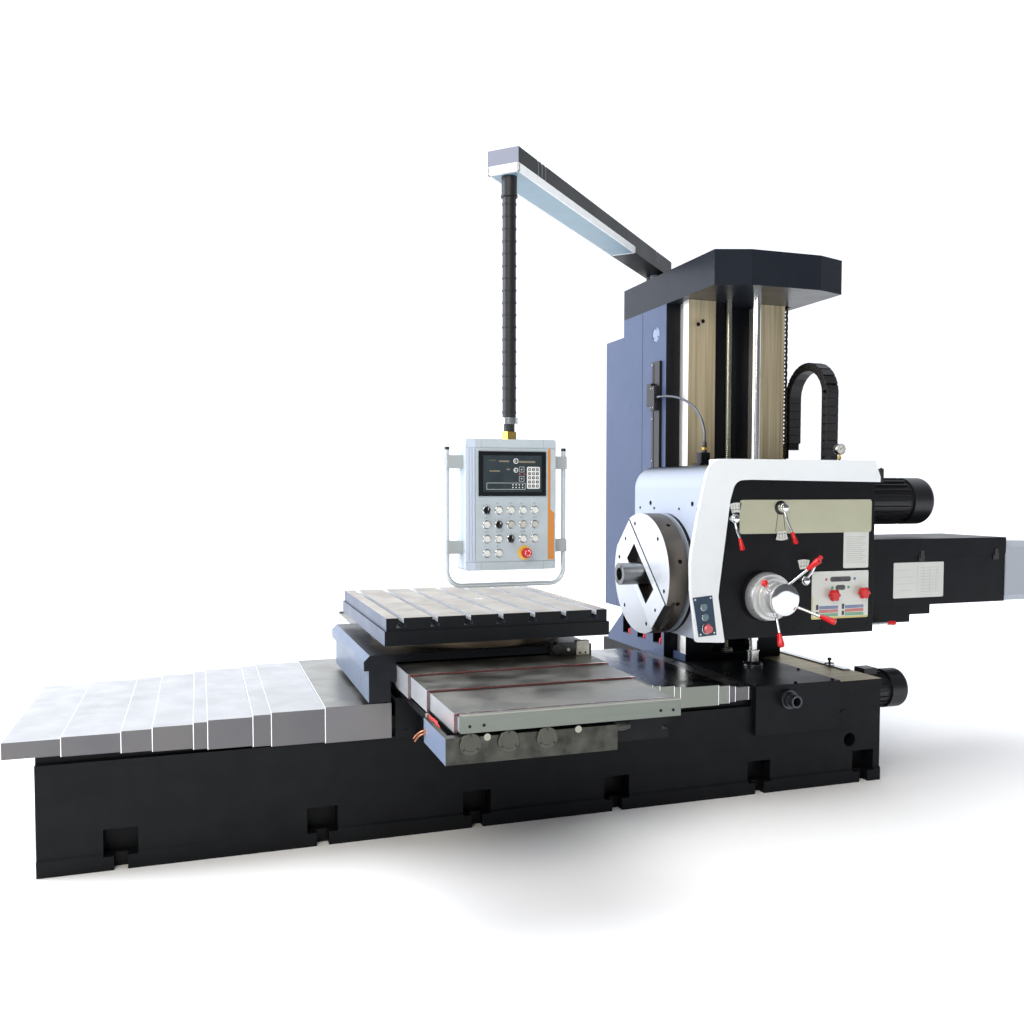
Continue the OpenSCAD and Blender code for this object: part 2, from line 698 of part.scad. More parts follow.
module tail_housing() {
  x0 = head_x1 + 3;
  color("#26282c") difference() {
    union() {
      block([x0, tail_y0, tail_z0], [tail_x1, tail_y1, tail_z1]);
      block([x0, tail_y0 + 20, tail_z0 - 52], [x0 + 480, tail_y1 - 20, tail_z0]);
      block([x0, tail_y0 + 20, tail_z0 - 91], [x0 + 348, tail_y1 - 20, tail_z0 - 52]);
      // lip of the lid
      block([x0, tail_y0 - 6, tail_z1 - 86], [tail_x1, tail_y1 + 6, tail_z1]);
    }
    block([x0 + 20, tail_y0 + tail_wall, tail_z0 + tail_wall],
          [tail_x1 + 1, tail_y1 - tail_wall, tail_z1 - tail_wall]);
    bar_x(x0 - 1, x0 + 21, spindle_y, spindle_z, spindle_d + 24);
  }
}
module tail_cap() {
  c = 34;
  color("gainsboro") difference() {
    along_x(tail_x1, tail_x2) polygon([
      [tail_y0 - 6, tail_z0 + c], [tail_y0 - 6 + c, tail_z0], [tail_y1 + 6 - c, tail_z0],
      [tail_y1 + 6, tail_z0 + c], [tail_y1 + 6, tail_z1 - 24 - c], [tail_y1 + 6 - c, tail_z1 - 24],
      [tail_y0 - 6 + c, tail_z1 - 24], [tail_y0 - 6, tail_z1 - 24 - c]]);
    block([tail_x1 - 1, tail_y0 + 12, tail_z0 + 18], [tail_x2 - 12, tail_y1 - 12, tail_z1 - 42]);
  }
}

// ---- Controls on the headstock ----
module push_button(x, z, d) {
  bar_y(x, shroud_y - 14, shroud_y + 2, z, d);
}
module head_button_bores() {
  for (z = [163, 115])
    bar_y(z > 140 ? 907 : 915, shroud_y - 5, shroud_y + 8, head_z0 + z, 30 + 2 * slip);
  bar_y(924, shroud_y - 5, shroud_y + 8, head_z0 + 61, 26 + 2 * slip);
}
module head_buttons() {
  color("teal") {
    push_button(907, head_z0 + 163, 30);
    push_button(915, head_z0 + 115, 30);
  }
}
module head_stop_button() {
  color("red") {
    bar_y(924, shroud_y - 18, shroud_y + 2, head_z0 + 61, 26);
    translate([924, shroud_y - 18, head_z0 + 61]) rotate([90, 0, 0]) cylinder(h = 16, d1 = 44, d2 = 34);
  }
}
// A hand lever: hub, bent rod and grip, swung down by an angle from straight down
module hand_lever(x, z, l, a, out, base) {
  translate([x, head_y0 - base, z]) rotate([0, a, 0]) {
    color("silver") {
      rotate([90, 0, 0]) cylinder(h = 34, d = 46);
      translate([0, -34, 0]) rotate([90, 0, 0]) cylinder(h = 12, d1 = 46, d2 = 30);
      translate([0, -26, 0]) rotate([180 - out, 0, 0]) cylinder(h = l - 60, d = 12);
    }
    color("red") translate([0, -26, 0]) rotate([180 - out, 0, 0])
      translate([0, 0, l - 60]) cylinder(h = 62, d1 = 16, d2 = 24);
  }
}
module lever_clutch() { hand_lever(1068, 1337, 154, -12, 14, 0); }
module lever_speed() { hand_lever(1335, 1387, 182, -18, 14, 4); }
module lever_feed() { hand_lever(1465, 1031, 142, -212, 14, 0); }
module lever_lock() {
  color("silver") bar_x(head_x1 - 45, head_x1 + 150, lock_y, lock_z, lock_d);
  color("red") translate([head_x1 + 150, lock_y, lock_z]) rotate([0, 90, 0])
    cylinder(h = 48, d1 = 18, d2 = 24);
}

module pilot_wheel() {
  f = head_y0;
  translate([wheel_x, f, wheel_z]) {
    color("silver") {
      rotate([90, 0, 0]) cylinder(h = 100, d = 48);
      translate([0, 50, 0]) rotate([90, 0, 0]) cylinder(h = 60, d = 48);
      translate([0, -27, 0]) rotate([90, 0, 0]) cylinder(h = 50, d1 = 236, d2 = 222);
      translate([0, -77, 0]) rotate([90, 0, 0]) cylinder(h = 30, d = 190);
      translate([0, -107, 0]) rotate([90, 0, 0]) cylinder(h = 62, d = 150);
      for (a = arm_angles) rotate([0, -a, 0]) translate([60, -140, 0])
        rotate([0, 90, 0]) rotate([16, 0, 0]) cylinder(h = 120, d = 16);
    }
    color("red") for (a = arm_angles) rotate([0, -a, 0]) translate([60, -140, 0])
      rotate([0, 90, 0]) rotate([16, 0, 0]) translate([0, 0, 110]) cylinder(h = 76, d1 = 20, d2 = 32);
  }
}
module fine_feed_knob() {
  color("silver") {
    translate([wheel_x, head_y0 - 169.5, wheel_z]) rotate([90, 0, 0]) cylinder(h = 6, d = 60);
    translate([wheel_x, head_y0 - 175, wheel_z]) rotate([90, 0, 0]) cylinder(h = 8, d1 = 128, d2 = 116);
  }
}
module speed_knob(x, z) {
  color("red") {
    bar_y(x, head_y0 - 20, head_y0 - 4, z, 30);
    for (a = [0:60:300]) rotate_about(x, z, a) bar_y(x, head_y0 - 42, head_y0 - 20, z + 22, 18);
    bar_y(x, head_y0 - 46, head_y0 - 20, z, 48);
  }
}
module rotate_about(x, z, a) {
  translate([x, 0, z]) rotate([0, a, 0]) translate([-x, 0, -z]) children();
}
module speed_knob_left() { speed_knob(1633, 954); }
module speed_knob_right() { speed_knob(1809, 960); }

// ---- Spindle, carriage and facing head ----
module spindle() {
  color("silver") difference() {
    union() {
      bar_x(nose_x, spindle_end, spindle_y, spindle_z, spindle_d);
      bar_x(carriage_x - 20, carriage_x - 0.1, spindle_y, spindle_z, spindle_d + 40);
      bar_x(carriage_x + carriage_l + 0.1, carriage_x + carriage_l + 20, spindle_y, spindle_z, spindle_d + 40);
    }
    // taper and drift slot
    translate([nose_x - 1, spindle_y, spindle_z]) rotate([0, 90, 0]) cylinder(h = 190, d1 = 64, d2 = 44);
    block([nose_x + 120, spindle_y - 80, spindle_z - 9], [nose_x + 176, spindle_y + 80, spindle_z + 9]);
  }
}
module spindle_carriage() {
  color("dimgray") difference() {
    block([carriage_x, tail_y0 + tail_wall, tail_z0 + tail_wall],
          [carriage_x + carriage_l, tail_y1 - tail_wall, tail_z1 - tail_wall - 40]);
    bar_x(carriage_x - 1, carriage_x + carriage_l + 1, spindle_y, spindle_z, spindle_d + 2 * slip);
  }
}
slide_w = 190;
slide_d = 46;
module face_groove(w, d, extra) {
  translate([plate_x, spindle_y, spindle_z]) rotate([slide_angle, 0, 0])
    block([-1, -w / 2, -faceplate_d], [d, w / 2, faceplate_d]);
}
module faceplate() {
  x0 = plate_x;
  x1 = plate_x + faceplate_t;
  color("gray") difference() {
    union() {
      bar_x(x0, x1, spindle_y, spindle_z, faceplate_d);
      bar_x(x1, head_x0 + 240, spindle_y, spindle_z, hub_d);
    }
    bar_x(x0 - 1, head_x0 + 241, spindle_y, spindle_z, spindle_d + 2 * slip);
    face_groove(slide_w + 0.2, slide_d, 0);
    // wider slot under the flanks keeps the slide in
    translate([x0, spindle_y, spindle_z]) rotate([slide_angle, 0, 0])
      block([slide_d - 22, -slide_w / 2 - 16.1, -faceplate_d], [slide_d, slide_w / 2 + 16.1, faceplate_d]);
    for (a = [30:60:330]) translate([x0 - 1, spindle_y, spindle_z]) rotate([slide_angle + a, 0, 0])
      translate([0, 0, faceplate_d / 2 - 45]) rotate([0, 90, 0]) cylinder(h = 28, d = 20);
    for (a = [40:40:320]) translate([x1 - 36, spindle_y, spindle_z]) rotate([slide_angle + a, 0, 0])
      translate([0, 0, faceplate_d / 2 - 30]) cylinder(h = 40, d = 22);
  }
}
module facing_slide() {
  l = faceplate_d - 50;
  color("silver") translate([plate_x, spindle_y, spindle_z]) rotate([slide_angle, 0, 0]) difference() {
    union() {
      block([-4, -slide_w / 2, -l / 2], [slide_d - 0.1, slide_w / 2, l / 2]);
      block([slide_d - 21.9, -slide_w / 2 - 16, -l / 2], [slide_d - 0.1, slide_w / 2 + 16, l / 2]);
    }
    block([-5, -spindle_d / 2 - 2, -spindle_d / 2 - 96], [slide_d + 1, spindle_d / 2 + 2, spindle_d / 2 + 96]);
    for (z = [-l / 2 + 40, l / 2 - 40]) translate([-5, 0, z]) rotate([0, 90, 0]) cylinder(h = 30, d = 18);
  }
}

// ---- Saddle ----
module saddle() {
  color("#4a4d52") difference() {
    union() {
      // plate riding on the bed, skirts and keepers
      block([guide_x0, -bed_y - 18, bed_h], [saddle_x1, bed_y + 18, saddle_z]);
      for (s = [-1, 1]) {
        block([guide_x0, min(s * (bed_y + slip), s * (bed_y + 18)), bed_h - 90],
              [saddle_x1, max(s * (bed_y + slip), s * (bed_y + 18)), bed_h]);
        block([guide_x0, min(s * (bed_y - 30), s * (bed_y + 18)), keeper_z0 + 1],
              [saddle_x1, max(s * (bed_y - 30), s * (bed_y + 18)), keeper_z1 - slip]);
      }
      // nut of the feed screw
      block([saddle_x - 120, -70, bed_h - 160], [saddle_x + 120, 70, bed_h]);
      // cross beam with grooved flanks
      along_y(beam_y0, beam_y1) polygon([[beam_x0, saddle_z], [beam_x1, saddle_z],
        [beam_x1, saddle_z + 30], [beam_x1 - 24, saddle_z + 30], [beam_x1 - 24, saddle_z + 50],
        [beam_x1, saddle_z + 50], [beam_x1, beam_z], [beam_x0, beam_z], [beam_x0, saddle_z + 50],
        [beam_x0 + 24, saddle_z + 50], [beam_x0 + 24, saddle_z + 30], [beam_x0, saddle_z + 30]]);
      // sloping brackets under both overhangs
      along_x(beam_x0 + 60, beam_x1 - 60) polygon([[beam_y0 + 260, saddle_z], [-bed_y - 18, saddle_z],
        [-bed_y - 18, bed_h - 90], [-bed_y - 60, bed_h - 90]]);
      along_x(beam_x0 + 60, beam_x1 - 60) polygon([[beam_y1 - 40, saddle_z], [bed_y + 18, saddle_z],
        [bed_y + 18, bed_h - 90], [bed_y + 60, bed_h - 90]]);
    }
    // channel of the cross screw
    block([saddle_x - 60, beam_y0 + 40, beam_z - 70], [saddle_x + 60, beam_y1 - 40, beam_z + 1]);
    for (y = [beam_y0 - 1, beam_y1 - 41])
      bar_y(saddle_x, y, y + 42, beam_z - 36, 40 + 2 * slip);
    bar_x(saddle_x - 121, saddle_x + 121, 0, bed_h - 100, 50 + 2 * slip);
  }
}
module cross_screw() {
  color("silver") {
    bar_y(saddle_x, beam_y0 + 4, beam_y1 - 4, beam_z - 36, 40);
    bar_y(saddle_x, beam_y0 + 40.2, beam_y0 + 62, beam_z - 36, 64);
  }
}
module saddle_gearbox() {
  y0 = beam_y0 - 40;
  y1 = beam_y0 + 260;
  x0 = saddle_x - 443;
  x1 = saddle_x + 163;
  color("#8d9092") {
    block([x0, y0, saddle_z - 8], [x1, y1, saddle_z]);
    block([x0, y0, saddle_z], [beam_x0, y1, cross_low - 5]);
    block([x0, y0, saddle_z], [x1, beam_y0, beam_z - 12]);
    // flanged covers
    for (x = [-360, -230, -96]) {
      bar_y(saddle_x + x, y0 - 12, y0, bed_h + 128, 74);
      bar_y(saddle_x + x, y0 - 20, y0 - 12, bed_h + 128, 44);
    }
    for (x = [-303, 17]) bar_y(saddle_x + x, y0 - 5, y0, bed_h + 150, 22);
  }
  color("#222326") {
    bar_x(x1, x1 + 33, y0 + 20, bed_h + 145, 38);
    bar_x(x1 + 33, x1 + 52, y0 + 20, bed_h + 145, 30);
  }
}

// ---- Telescopic covers ----
// One folded sheet over the bed: level 0 is the smallest, the rim closes the step to the sheet below
module bed_cover(level, x0, x1, rim) {
  top = cover_z + step_up * level;
  low = cover_low - step_down * level;
  y = cover_half + step_out * level;
  down = step_up - 0.8;
  color("#8f9296") {
    difference() {
      block([x0, -y, low], [x1, y, top]);
      block([x0 - 1, -y + sheet_t, low - 1], [x1 + 1, y - sheet_t, top - sheet_t]);
    }
    // rim at the visible edge
    difference() {
      block([rim < 0 ? x0 : x1 - 3, -y, low], [rim < 0 ? x0 + 3 : x1, y, top]);
      block([rim < 0 ? x0 - 1 : x1 - 4, -y + step_out - 0.4, low - 1],
            [rim < 0 ? x0 + 4 : x1 + 1, y - step_out + 0.4, top - step_up + 0.4]);
    }
  }
}
// Joint between two sheets that travel together
module cover_joint(level, x0, x1) {
  top = cover_z + step_up * level;
  low = cover_low - step_down * (level - 1);
  y = cover_half + step_out * level;
  color("#8f9296") difference() {
    block([x0, -y + 1, low], [x1, y - 1, top - 1]);
    block([x0 - 1, -y + step_out + 1, low - 1], [x1 + 1, y - step_out - 1, top - step_up - 1]);
  }
}
function e_left(i) = left_edges[i];
function e_right(i) = right_edges[i];
module left_pair(i, x_end) {
  bed_cover(i, e_left(i), e_left(i + 1) + 20, -1);
  bed_cover(i + 1, e_left(i + 1), x_end, -1);
  cover_joint(i + 1, e_left(i + 1), e_left(i + 1) + 20);
}
module left_cover_1() { bed_cover(1, e_left(1), e_left(2) + lap, -1); }
module left_cover_2() { left_pair(2, e_left(4) + lap); }
module left_cover_3() { left_pair(4, e_left(6) + lap); }
module left_cover_4() { left_pair(6, e_left(8) + lap); }
module right_cover_1() {
  bed_cover(6, saddle_x1 + 60, e_right(7) + 38, 1);
  bed_cover(5, e_right(6) - 20, e_right(5), 1);
  cover_joint(6, e_right(6) - 20, e_right(6));
  bed_cover(4, e_right(5) - 20, e_right(4), 1);
  cover_joint(5, e_right(5) - 20, e_right(5));
}
module right_cover_2() {
  bed_cover(3, saddle_x1 + 129, e_right(3), 1);
  bed_cover(2, e_right(3) - 20, e_right(2), 1);
  cover_joint(3, e_right(3) - 20, e_right(3));
}
module cover_ends() {
  bed_cover(0, e_left(0), e_left(1) + lap, -1);
  bed_cover(1, e_right(7) + 50, e_right(1), 1);
  bed_cover(0, e_right(1) - 20, e_right(0), 1);
  cover_joint(1, e_right(1) - 20, e_right(1));
}
module cross_sheet(level, y0, y1, rim) {
  t = sheet_t;
  half = cross_half - 10 * level;
  top = cross_z - 7 * level;
  low = cross_low + 8 * level;
  color("#8f9296") difference() {
    block([saddle_x - half, y0, low], [saddle_x + half, y1, top]);
    block([saddle_x - half + t, y0 - 1, low - 1], [saddle_x + half - t, y1 + 1, top - t]);
  }
  // stiffened visible edge
  color("#7c3f3a") difference() {
    block([saddle_x - half, rim < 0 ? y0 : y1 - 4, low], [saddle_x + half, rim < 0 ? y0 + 4 : y1, top]);
    block([saddle_x - half + 9.6, rim < 0 ? y0 - 1 : y1 - 5, low - 1],
          [saddle_x + half - 9.6, rim < 0 ? y0 + 5 : y1 + 1, top - 6.6]);
  }
}
module cross_pair(level) {
  e = cross_edges[level];
  l = cross_lengths[level];
  cross_sheet(level, spindle_y - e, spindle_y - e + l, -1);
  cross_sheet(level, spindle_y + e - l, spindle_y + e, 1);
}
module slide_covers() { cross_pair(0); }
module cross_cover() { cross_pair(1); }
module saddle_covers() {
  // sheets of the long covers fixed to the saddle
  bed_cover(8, e_left(8), guide_x0 - 17, -1);
  bed_cover(7, saddle_x1, e_right(7), 1);
  cross_pair(2);
  cross_pair(3);
  // end plates of the cross beam
  color("silver") for (s = [-1, 1]) difference() {
    y = spindle_y + s * 1330;
    h = cross_half - 26;
    union() {
      block([saddle_x - h, min(y, y + s * 20), beam_z], [saddle_x + h, max(y, y + s * 20), beam_z + 60]);
      // foot that carries the plate on the beam
      block([beam_x0, min(y, y - s * 80), beam_z], [beam_x1, max(y, y - s * 80), beam_z + 8]);
    }
    for (x = [-h + 30, h - 30], z = [22, 42])
      bar_y(saddle_x + x, min(y, y + s * 20) - 1, max(y, y + s * 20) + 1, beam_z + z, 9);
  }
}

// ---- Cross slide and table ----
module cross_slide() {
  yc = spindle_y;
  inner = slide_half - pocket_cross;
  low = saddle_z + 40;
  color("#3b3e44") difference() {
    union() {
      block([slide_x0, yc - slide_half, beam_z], [slide_x1, yc + slide_half, slide_z]);
      // side lips with keepers round the beam
      for (s = [-1, 1]) {
        e = s < 0 ? beam_x0 - slip : beam_x1 + slip;
        o = s < 0 ? slide_x0 : slide_x1;
        block([min(e, o), yc - inner, saddle_z + 4], [max(e, o), yc + inner, beam_z]);
        k = e - s * 20;
        block([min(k, o), yc - inner, saddle_z + 30 + slip], [max(k, o), yc + inner, saddle_z + 50 - slip]);
      }
      // left wing
      block([wing_x0, yc - slide_half, slide_z - 62], [slide_x0, yc + slide_half, slide_z - 24]);
      along_y(yc - slide_half, yc + slide_half) polygon([[wing_x0, slide_z - 24],
        [wing_x0 + 24, slide_z], [slide_x0, slide_z], [slide_x0, slide_z - 24]]);
      // left skirt
      along_y(yc - slide_half, yc + slide_half) polygon([[wing_x0 + 20, saddle_z + 6],
        [slide_x0, saddle_z + 6], [slide_x0, slide_z - 62], [wing_x0 + 20, slide_z - 62]]);
      // base ring of the rotary table
      bar_z(saddle_x, yc, slide_z, table_z0, ring_d);
      bar_z(saddle_x, yc, table_z0, table_z0 + 40, hub_bore - 2 * slip);
      // nut of the cross screw
      block([saddle_x - 40, yc - 90, beam_z - 64], [saddle_x + 40, yc + 90, beam_z]);
    }
    for (s = [-1, 1]) {
      y0 = s < 0 ? yc - slide_half - 1 : yc + inner;
      y1 = s < 0 ? yc - inner : yc + slide_half + 1;
      block([saddle_x - cross_half - 0.4, y0, beam_z - 1],
            [saddle_x + cross_half + 0.4, y1, cross_z + 11]);
    }
    bar_y(saddle_x, yc - 91, yc + 91, beam_z - 36, 40 + 2 * slip);
  }
}
module t_slot(x) {
  y = table_d / 2 + 1;
  block([x - slot_w / 2, spindle_y - y, table_z - 40], [x + slot_w / 2, spindle_y + y, table_z + 1]);
  block([x - slot_w * 0.85, spindle_y - y, table_z - 40], [x + slot_w * 0.85, spindle_y + y, table_z - 23]);
}
module table() {
  x0 = saddle_x - table_w / 2;
  x1 = saddle_x + table_w / 2;
  y0 = spindle_y - table_d / 2;
  y1 = spindle_y + table_d / 2;
  m = table_z - 52;
  color("#55585c") difference() {
    union() {
      block([x0, y0, m], [x1, y1, table_z]);
      block([x0 - 8, y0 - 8, table_z0], [x1 + 8, y1 + 8, m]);
    }
    for (i = [0:slot_count - 1]) t_slot(saddle_x + (i - (slot_count - 1) / 2) * slot_pitch);
    bar_z(saddle_x, spindle_y, table_z0 - 1, table_z0 + 45, hub_bore);
    bar_z(saddle_x + slot_pitch / 2, spindle_y, table_z - 30, table_z + 1, 60);
  }
}

// ---- Swivel arm and control station ----
module on_arm() {
  translate([pivot_x, pivot_y, 0]) rotate([0, 0, arm_angle]) children();
}
module pendant_arm() {
  color("#26282c") {
    bar_z(pivot_x, pivot_y, cap_top, cap_top + 22, 190);
    bar_z(pivot_x, pivot_y, cap_top + 22, arm_z0 - lamp_t, 120);
    on_arm() difference() {
      union() {
        block([-75, -arm_w / 2, arm_z0], [arm_l, arm_w / 2, arm_z0 + arm_h]);
        block([-75, -arm_w / 2, arm_z0 - lamp_t], [arm_l - lamp_l, arm_w / 2, arm_z0]);
      }
      for (x = [150, 182, 214, arm_l - 270, arm_l - 232, arm_l - 194])
        block([x, arm_w / 2 - 4, arm_z0 + 6], [x + 13, arm_w / 2 + 1, arm_z0 + arm_h + 1]);
    }
  }
  // light panel under the arm
  color("whitesmoke") on_arm()
    block([arm_l - lamp_l, -arm_w / 2, arm_z0 - lamp_t], [arm_l - 4, arm_w / 2, arm_z0]);
}
module pendant_tube() {
  color("#2a2b2d") {
    bar_z(tube_x, tube_y, box_top + 91, arm_z0 - lamp_t, tube_d);
    for (z = [box_top + 110:50:arm_z0 - lamp_t - 90]) bar_z(tube_x, tube_y, z, z + 8, tube_d + 4);
    bar_z(tube_x, tube_y, arm_z0 - lamp_t - 84, arm_z0 - lamp_t, tube_d + 8);
    bar_z(tube_x, tube_y, arm_z0 - lamp_t - 84, arm_z0 - lamp_t - 76, tube_d + 14);
  }
  color("silver") bar_z(tube_x, tube_y, box_top + 66, box_top + 91, tube_d + 14);
  color("#2a2b2d") bar_z(tube_x, tube_y, box_top + 34, box_top + 66, 45);
}
module pendant_box() {
  x0 = tube_x - 0.53 * box_w;
  x1 = x0 + box_w;
  yf = box_face;
  yb = box_face + box_d;
  color("#c3cbd2") {
    difference() {
      translate([(x0 + x1) / 2, 0, (box_top + box_bottom) / 2]) along_y(yf, yb)
        round_rect(box_w, box_h, 10);
      // bores of the push buttons
      translate([0, 4, 0]) all_keys(27 + 2 * slip);
      bar_y(key_x(3) + 8, box_face - 1, box_face + 8, key_z(3), 24 + 2 * slip);
      // seams of the end caps and the fluted band
      block([x0 - 1, yf - 1, box_top - 37], [x1 + 1, yf + 2, box_top - 34]);
      block([x0 - 1, yf - 1, box_bottom + 33], [x1 + 1, yf + 2, box_bottom + 36]);
      for (x = [x0 + 14, x0 + 26, x0 + 38]) block([x, yf - 1, box_bottom + 40], [x + 5, yf + 4, box_top - 40]);
    }
    // clamps of the rail
    for (z = [box_top - 92, box_bottom + 94]) {
      block([x0 - 66, yf + 40, z - 26], [x0, yf + 90, z + 26]);
      block([x1, yf + 40, z - 26], [x1 + 66, yf + 90, z + 26]);
    }
  }
  color("silver") rail(x0 - 60, x1 + 60, yf + 65);
  // read-out frame and its glass
  color("#17191c") difference() {
    block([x0 + 54, yf - 8, box_top - 232], [x1 - 46, yf, box_top - 50]);
    block([x0 + 72, yf - 9, box_top - 216], [x1 - 64, yf - 5, box_top - 66]);
  }
  // nut that holds the tube
  color("gold") translate([tube_x, tube_y, box_top]) cylinder(h = 34, d = 62, $fn = 6);
}
module rail(x0, x1, y) {
  r = 60;
  z1 = box_top - 36;
  z0 = box_bottom - 66;
  for (x = [x0, x1]) bar_z(x, y, z0 + r, z1, 19);
  bar_x(x0 + r, x1 - r, y, z0, 19);
  for (s = [0, 1]) translate([s ? x1 - r : x0 + r, y, z0 + r]) rotate([90, s ? 90 : 180, 0])
    rotate_extrude(angle = 90) translate([r, 0]) circle(d = 19);
}
pendant_x = tube_x - 0.53 * box_w;
function key_x(i) = pendant_x + 89 + 52 * i;
function key_z(j) = box_bottom + 245 - 58.5 * j;
module key(i, j, d = 27) {
  bar_y(key_x(i), box_face - 9, box_face + 4, key_z(j), d);
}
module all_keys(d) {
  for (i = [1:4]) key(i, 0, d);
  for (i = [0, 2, 3, 4]) key(i, 1, d);
  for (i = [0, 1, 3, 4]) key(i, 2, d);
  for (i = [0, 1]) key(i, 3, d);
}
module pendant_buttons() {
  color("gainsboro") all_keys(27);
}
module pendant_stop_button() {
  x = key_x(3) + 8;
  color("red") {
    bar_y(x, box_face - 24, box_face + 3, key_z(3), 24);
    translate([x, box_face - 24, key_z(3)]) rotate([90, 0, 0]) cylinder(h = 18, d1 = 44, d2 = 36);
  }
}
module selector(i, j) {
  color("black") {
    bar_y(key_x(i), box_face - 10, box_face, key_z(j), 29);
    block([key_x(i) - 5, box_face - 26, key_z(j) - 13], [key_x(i) + 5, box_face - 10, key_z(j) + 13]);
  }
}
module selector_1() { selector(0, 0); }
module selector_2() { selector(1, 1); }
module selector_3() { selector(2, 2); }

bed();
bed_gearbox();
feed_motor();
column();
column_cap();
rear_guard();
column_fittings();
cover_ends();
cable_chain_fixed();
cable_chain_bend();
cable_chain_moving();
bed_screw();
elevation_screw();
drive_shaft();
counterweight();
chain_sprocket();
lift_chain();
reader_hose();
headstock();
front_shroud();
control_plates();
main_motor();
tail_housing();
tail_cap();
head_buttons();
head_stop_button();
lever_clutch();
lever_speed();
lever_feed();
lever_lock();
pilot_wheel();
fine_feed_knob();
speed_knob_left();
speed_knob_right();
spindle_carriage();
spindle();
faceplate();
facing_slide();
saddle();
saddle_gearbox();
cross_screw();
saddle_covers();
cross_slide();
slide_covers();
table();
left_cover_1();
left_cover_2();
left_cover_3();
left_cover_4();
right_cover_1();
right_cover_2();
cross_cover();
pendant_arm();
pendant_tube();
pendant_box();
pendant_buttons();
pendant_stop_button();
selector_1();
selector_2();
selector_3();
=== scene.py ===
import math

import bmesh
import bpy
from mathutils import Matrix, Vector


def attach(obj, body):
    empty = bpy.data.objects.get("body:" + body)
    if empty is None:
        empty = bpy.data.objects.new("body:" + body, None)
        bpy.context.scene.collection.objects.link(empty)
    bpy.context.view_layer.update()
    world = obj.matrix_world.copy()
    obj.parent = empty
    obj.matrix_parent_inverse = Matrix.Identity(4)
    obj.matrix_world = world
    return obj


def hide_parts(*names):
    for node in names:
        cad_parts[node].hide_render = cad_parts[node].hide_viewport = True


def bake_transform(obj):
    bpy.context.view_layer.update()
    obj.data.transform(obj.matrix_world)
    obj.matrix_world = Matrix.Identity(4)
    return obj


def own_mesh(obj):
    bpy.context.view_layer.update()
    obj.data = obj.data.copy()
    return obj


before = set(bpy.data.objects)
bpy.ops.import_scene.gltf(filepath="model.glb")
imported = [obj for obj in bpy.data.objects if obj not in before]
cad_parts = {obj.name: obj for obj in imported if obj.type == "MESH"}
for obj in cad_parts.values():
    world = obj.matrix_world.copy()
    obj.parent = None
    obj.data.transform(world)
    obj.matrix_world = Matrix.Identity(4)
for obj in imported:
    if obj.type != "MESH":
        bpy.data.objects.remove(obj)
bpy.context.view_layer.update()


# ---- Studio ----------------------------------------------------------------
# A machine this size is shown on a pale swept floor in front of a white wall.
# The light comes in from the far left, so faces turned to the operator stay dark.
MM = 0.001


def linear(code):
    """A colour written as sRGB hex, as linear light with full alpha."""
    shares = [int(code[i:i + 2], 16) / 255 for i in (1, 3, 5)]
    return [s / 12.92 if s <= 0.04045 else ((s + 0.055) / 1.055) ** 2.4 for s in shares] + [1.0]


def node(owner, kind, inputs=(), **settings):
    """Adds one shader node to a material or world, with its settings, values and links."""
    made = owner.node_tree.nodes.new("ShaderNode" + kind)
    for key, value in settings.items():
        setattr(made, key, value)
    for key, value in dict(inputs).items():
        if isinstance(value, bpy.types.NodeSocket):
            owner.node_tree.links.new(value, made.inputs[key])
        else:
            made.inputs[key].default_value = value
    return made


def zone(owner, *limits):
    """1 where each limit holds: (axis, low, high) in mm, (axis, sign) for faces that look along an
    axis of the machine, or a mask that is there already."""
    masks = []
    for limit in limits:
        if isinstance(limit, tuple):
            axis, *span = limit
            if len(span) == 2:
                seen = node(owner, "TexCoord").outputs["Object"]
                middle, spread = sum(span) / 2 * MM, (span[1] - span[0]) / 2 * MM
            else:  # within 0.3 of the axis, so a face may lean some 45 degrees
                seen, middle, spread = node(owner, "NewGeometry").outputs["True Normal"], span[0], 0.3
            part = node(owner, "SeparateXYZ", {0: seen}).outputs[axis]
            limit = node(owner, "Math", {0: part, 1: middle, 2: spread}, operation="COMPARE").outputs[0]
        masks.append(limit)
    made = masks[0]
    for mask in masks[1:]:
        made = node(owner, "Math", {0: made, 1: mask}, operation="MULTIPLY").outputs[0]
    return made


def overlay(material, mask, colour=None, metallic=None, roughness=None, glow=None):
    """Where the mask, or each limit in a list, holds, the surface takes these looks."""
    mask = zone(material, *mask) if isinstance(mask, list) else mask
    looks = {"Base Color": colour, "Metallic": metallic, "Roughness": roughness,
             "Emission Strength": glow}
    for key, value in looks.items():
        if value is None:
            continue
        socket = material.node_tree.nodes["Principled BSDF"].inputs[key]
        under = socket.links[0].from_socket if socket.is_linked else socket.default_value
        if key == "Base Color":
            value = linear(value) if isinstance(value, str) else value
            made = node(material, "Mix", {0: mask, 6: under, 7: value}, data_type="RGBA").outputs[2]
        else:
            made = node(material, "Mix", {0: mask, 2: under, 3: value}).outputs[0]
        material.node_tree.links.new(made, socket)


def grain(owner, size, stretch=(1, 1, 1), detail=3.0, low=0.0, high=1.0):
    """Noise whose grains are size mm across, drawn out along X, Y, Z, spread from low to high."""
    where = node(owner, "TexCoord").outputs["Object"]
    drawn = node(owner, "Mapping", {"Vector": where, "Scale": [1 / s for s in stretch]})
    noise = node(owner, "TexNoise", {"Vector": drawn.outputs[0], "Scale": 1000 / size, "Detail": detail})
    spread = {"Value": noise.outputs[0], "From Min": 0.3, "From Max": 0.7, "To Min": low, "To Max": high}
    return node(owner, "MapRange", spread).outputs[0]


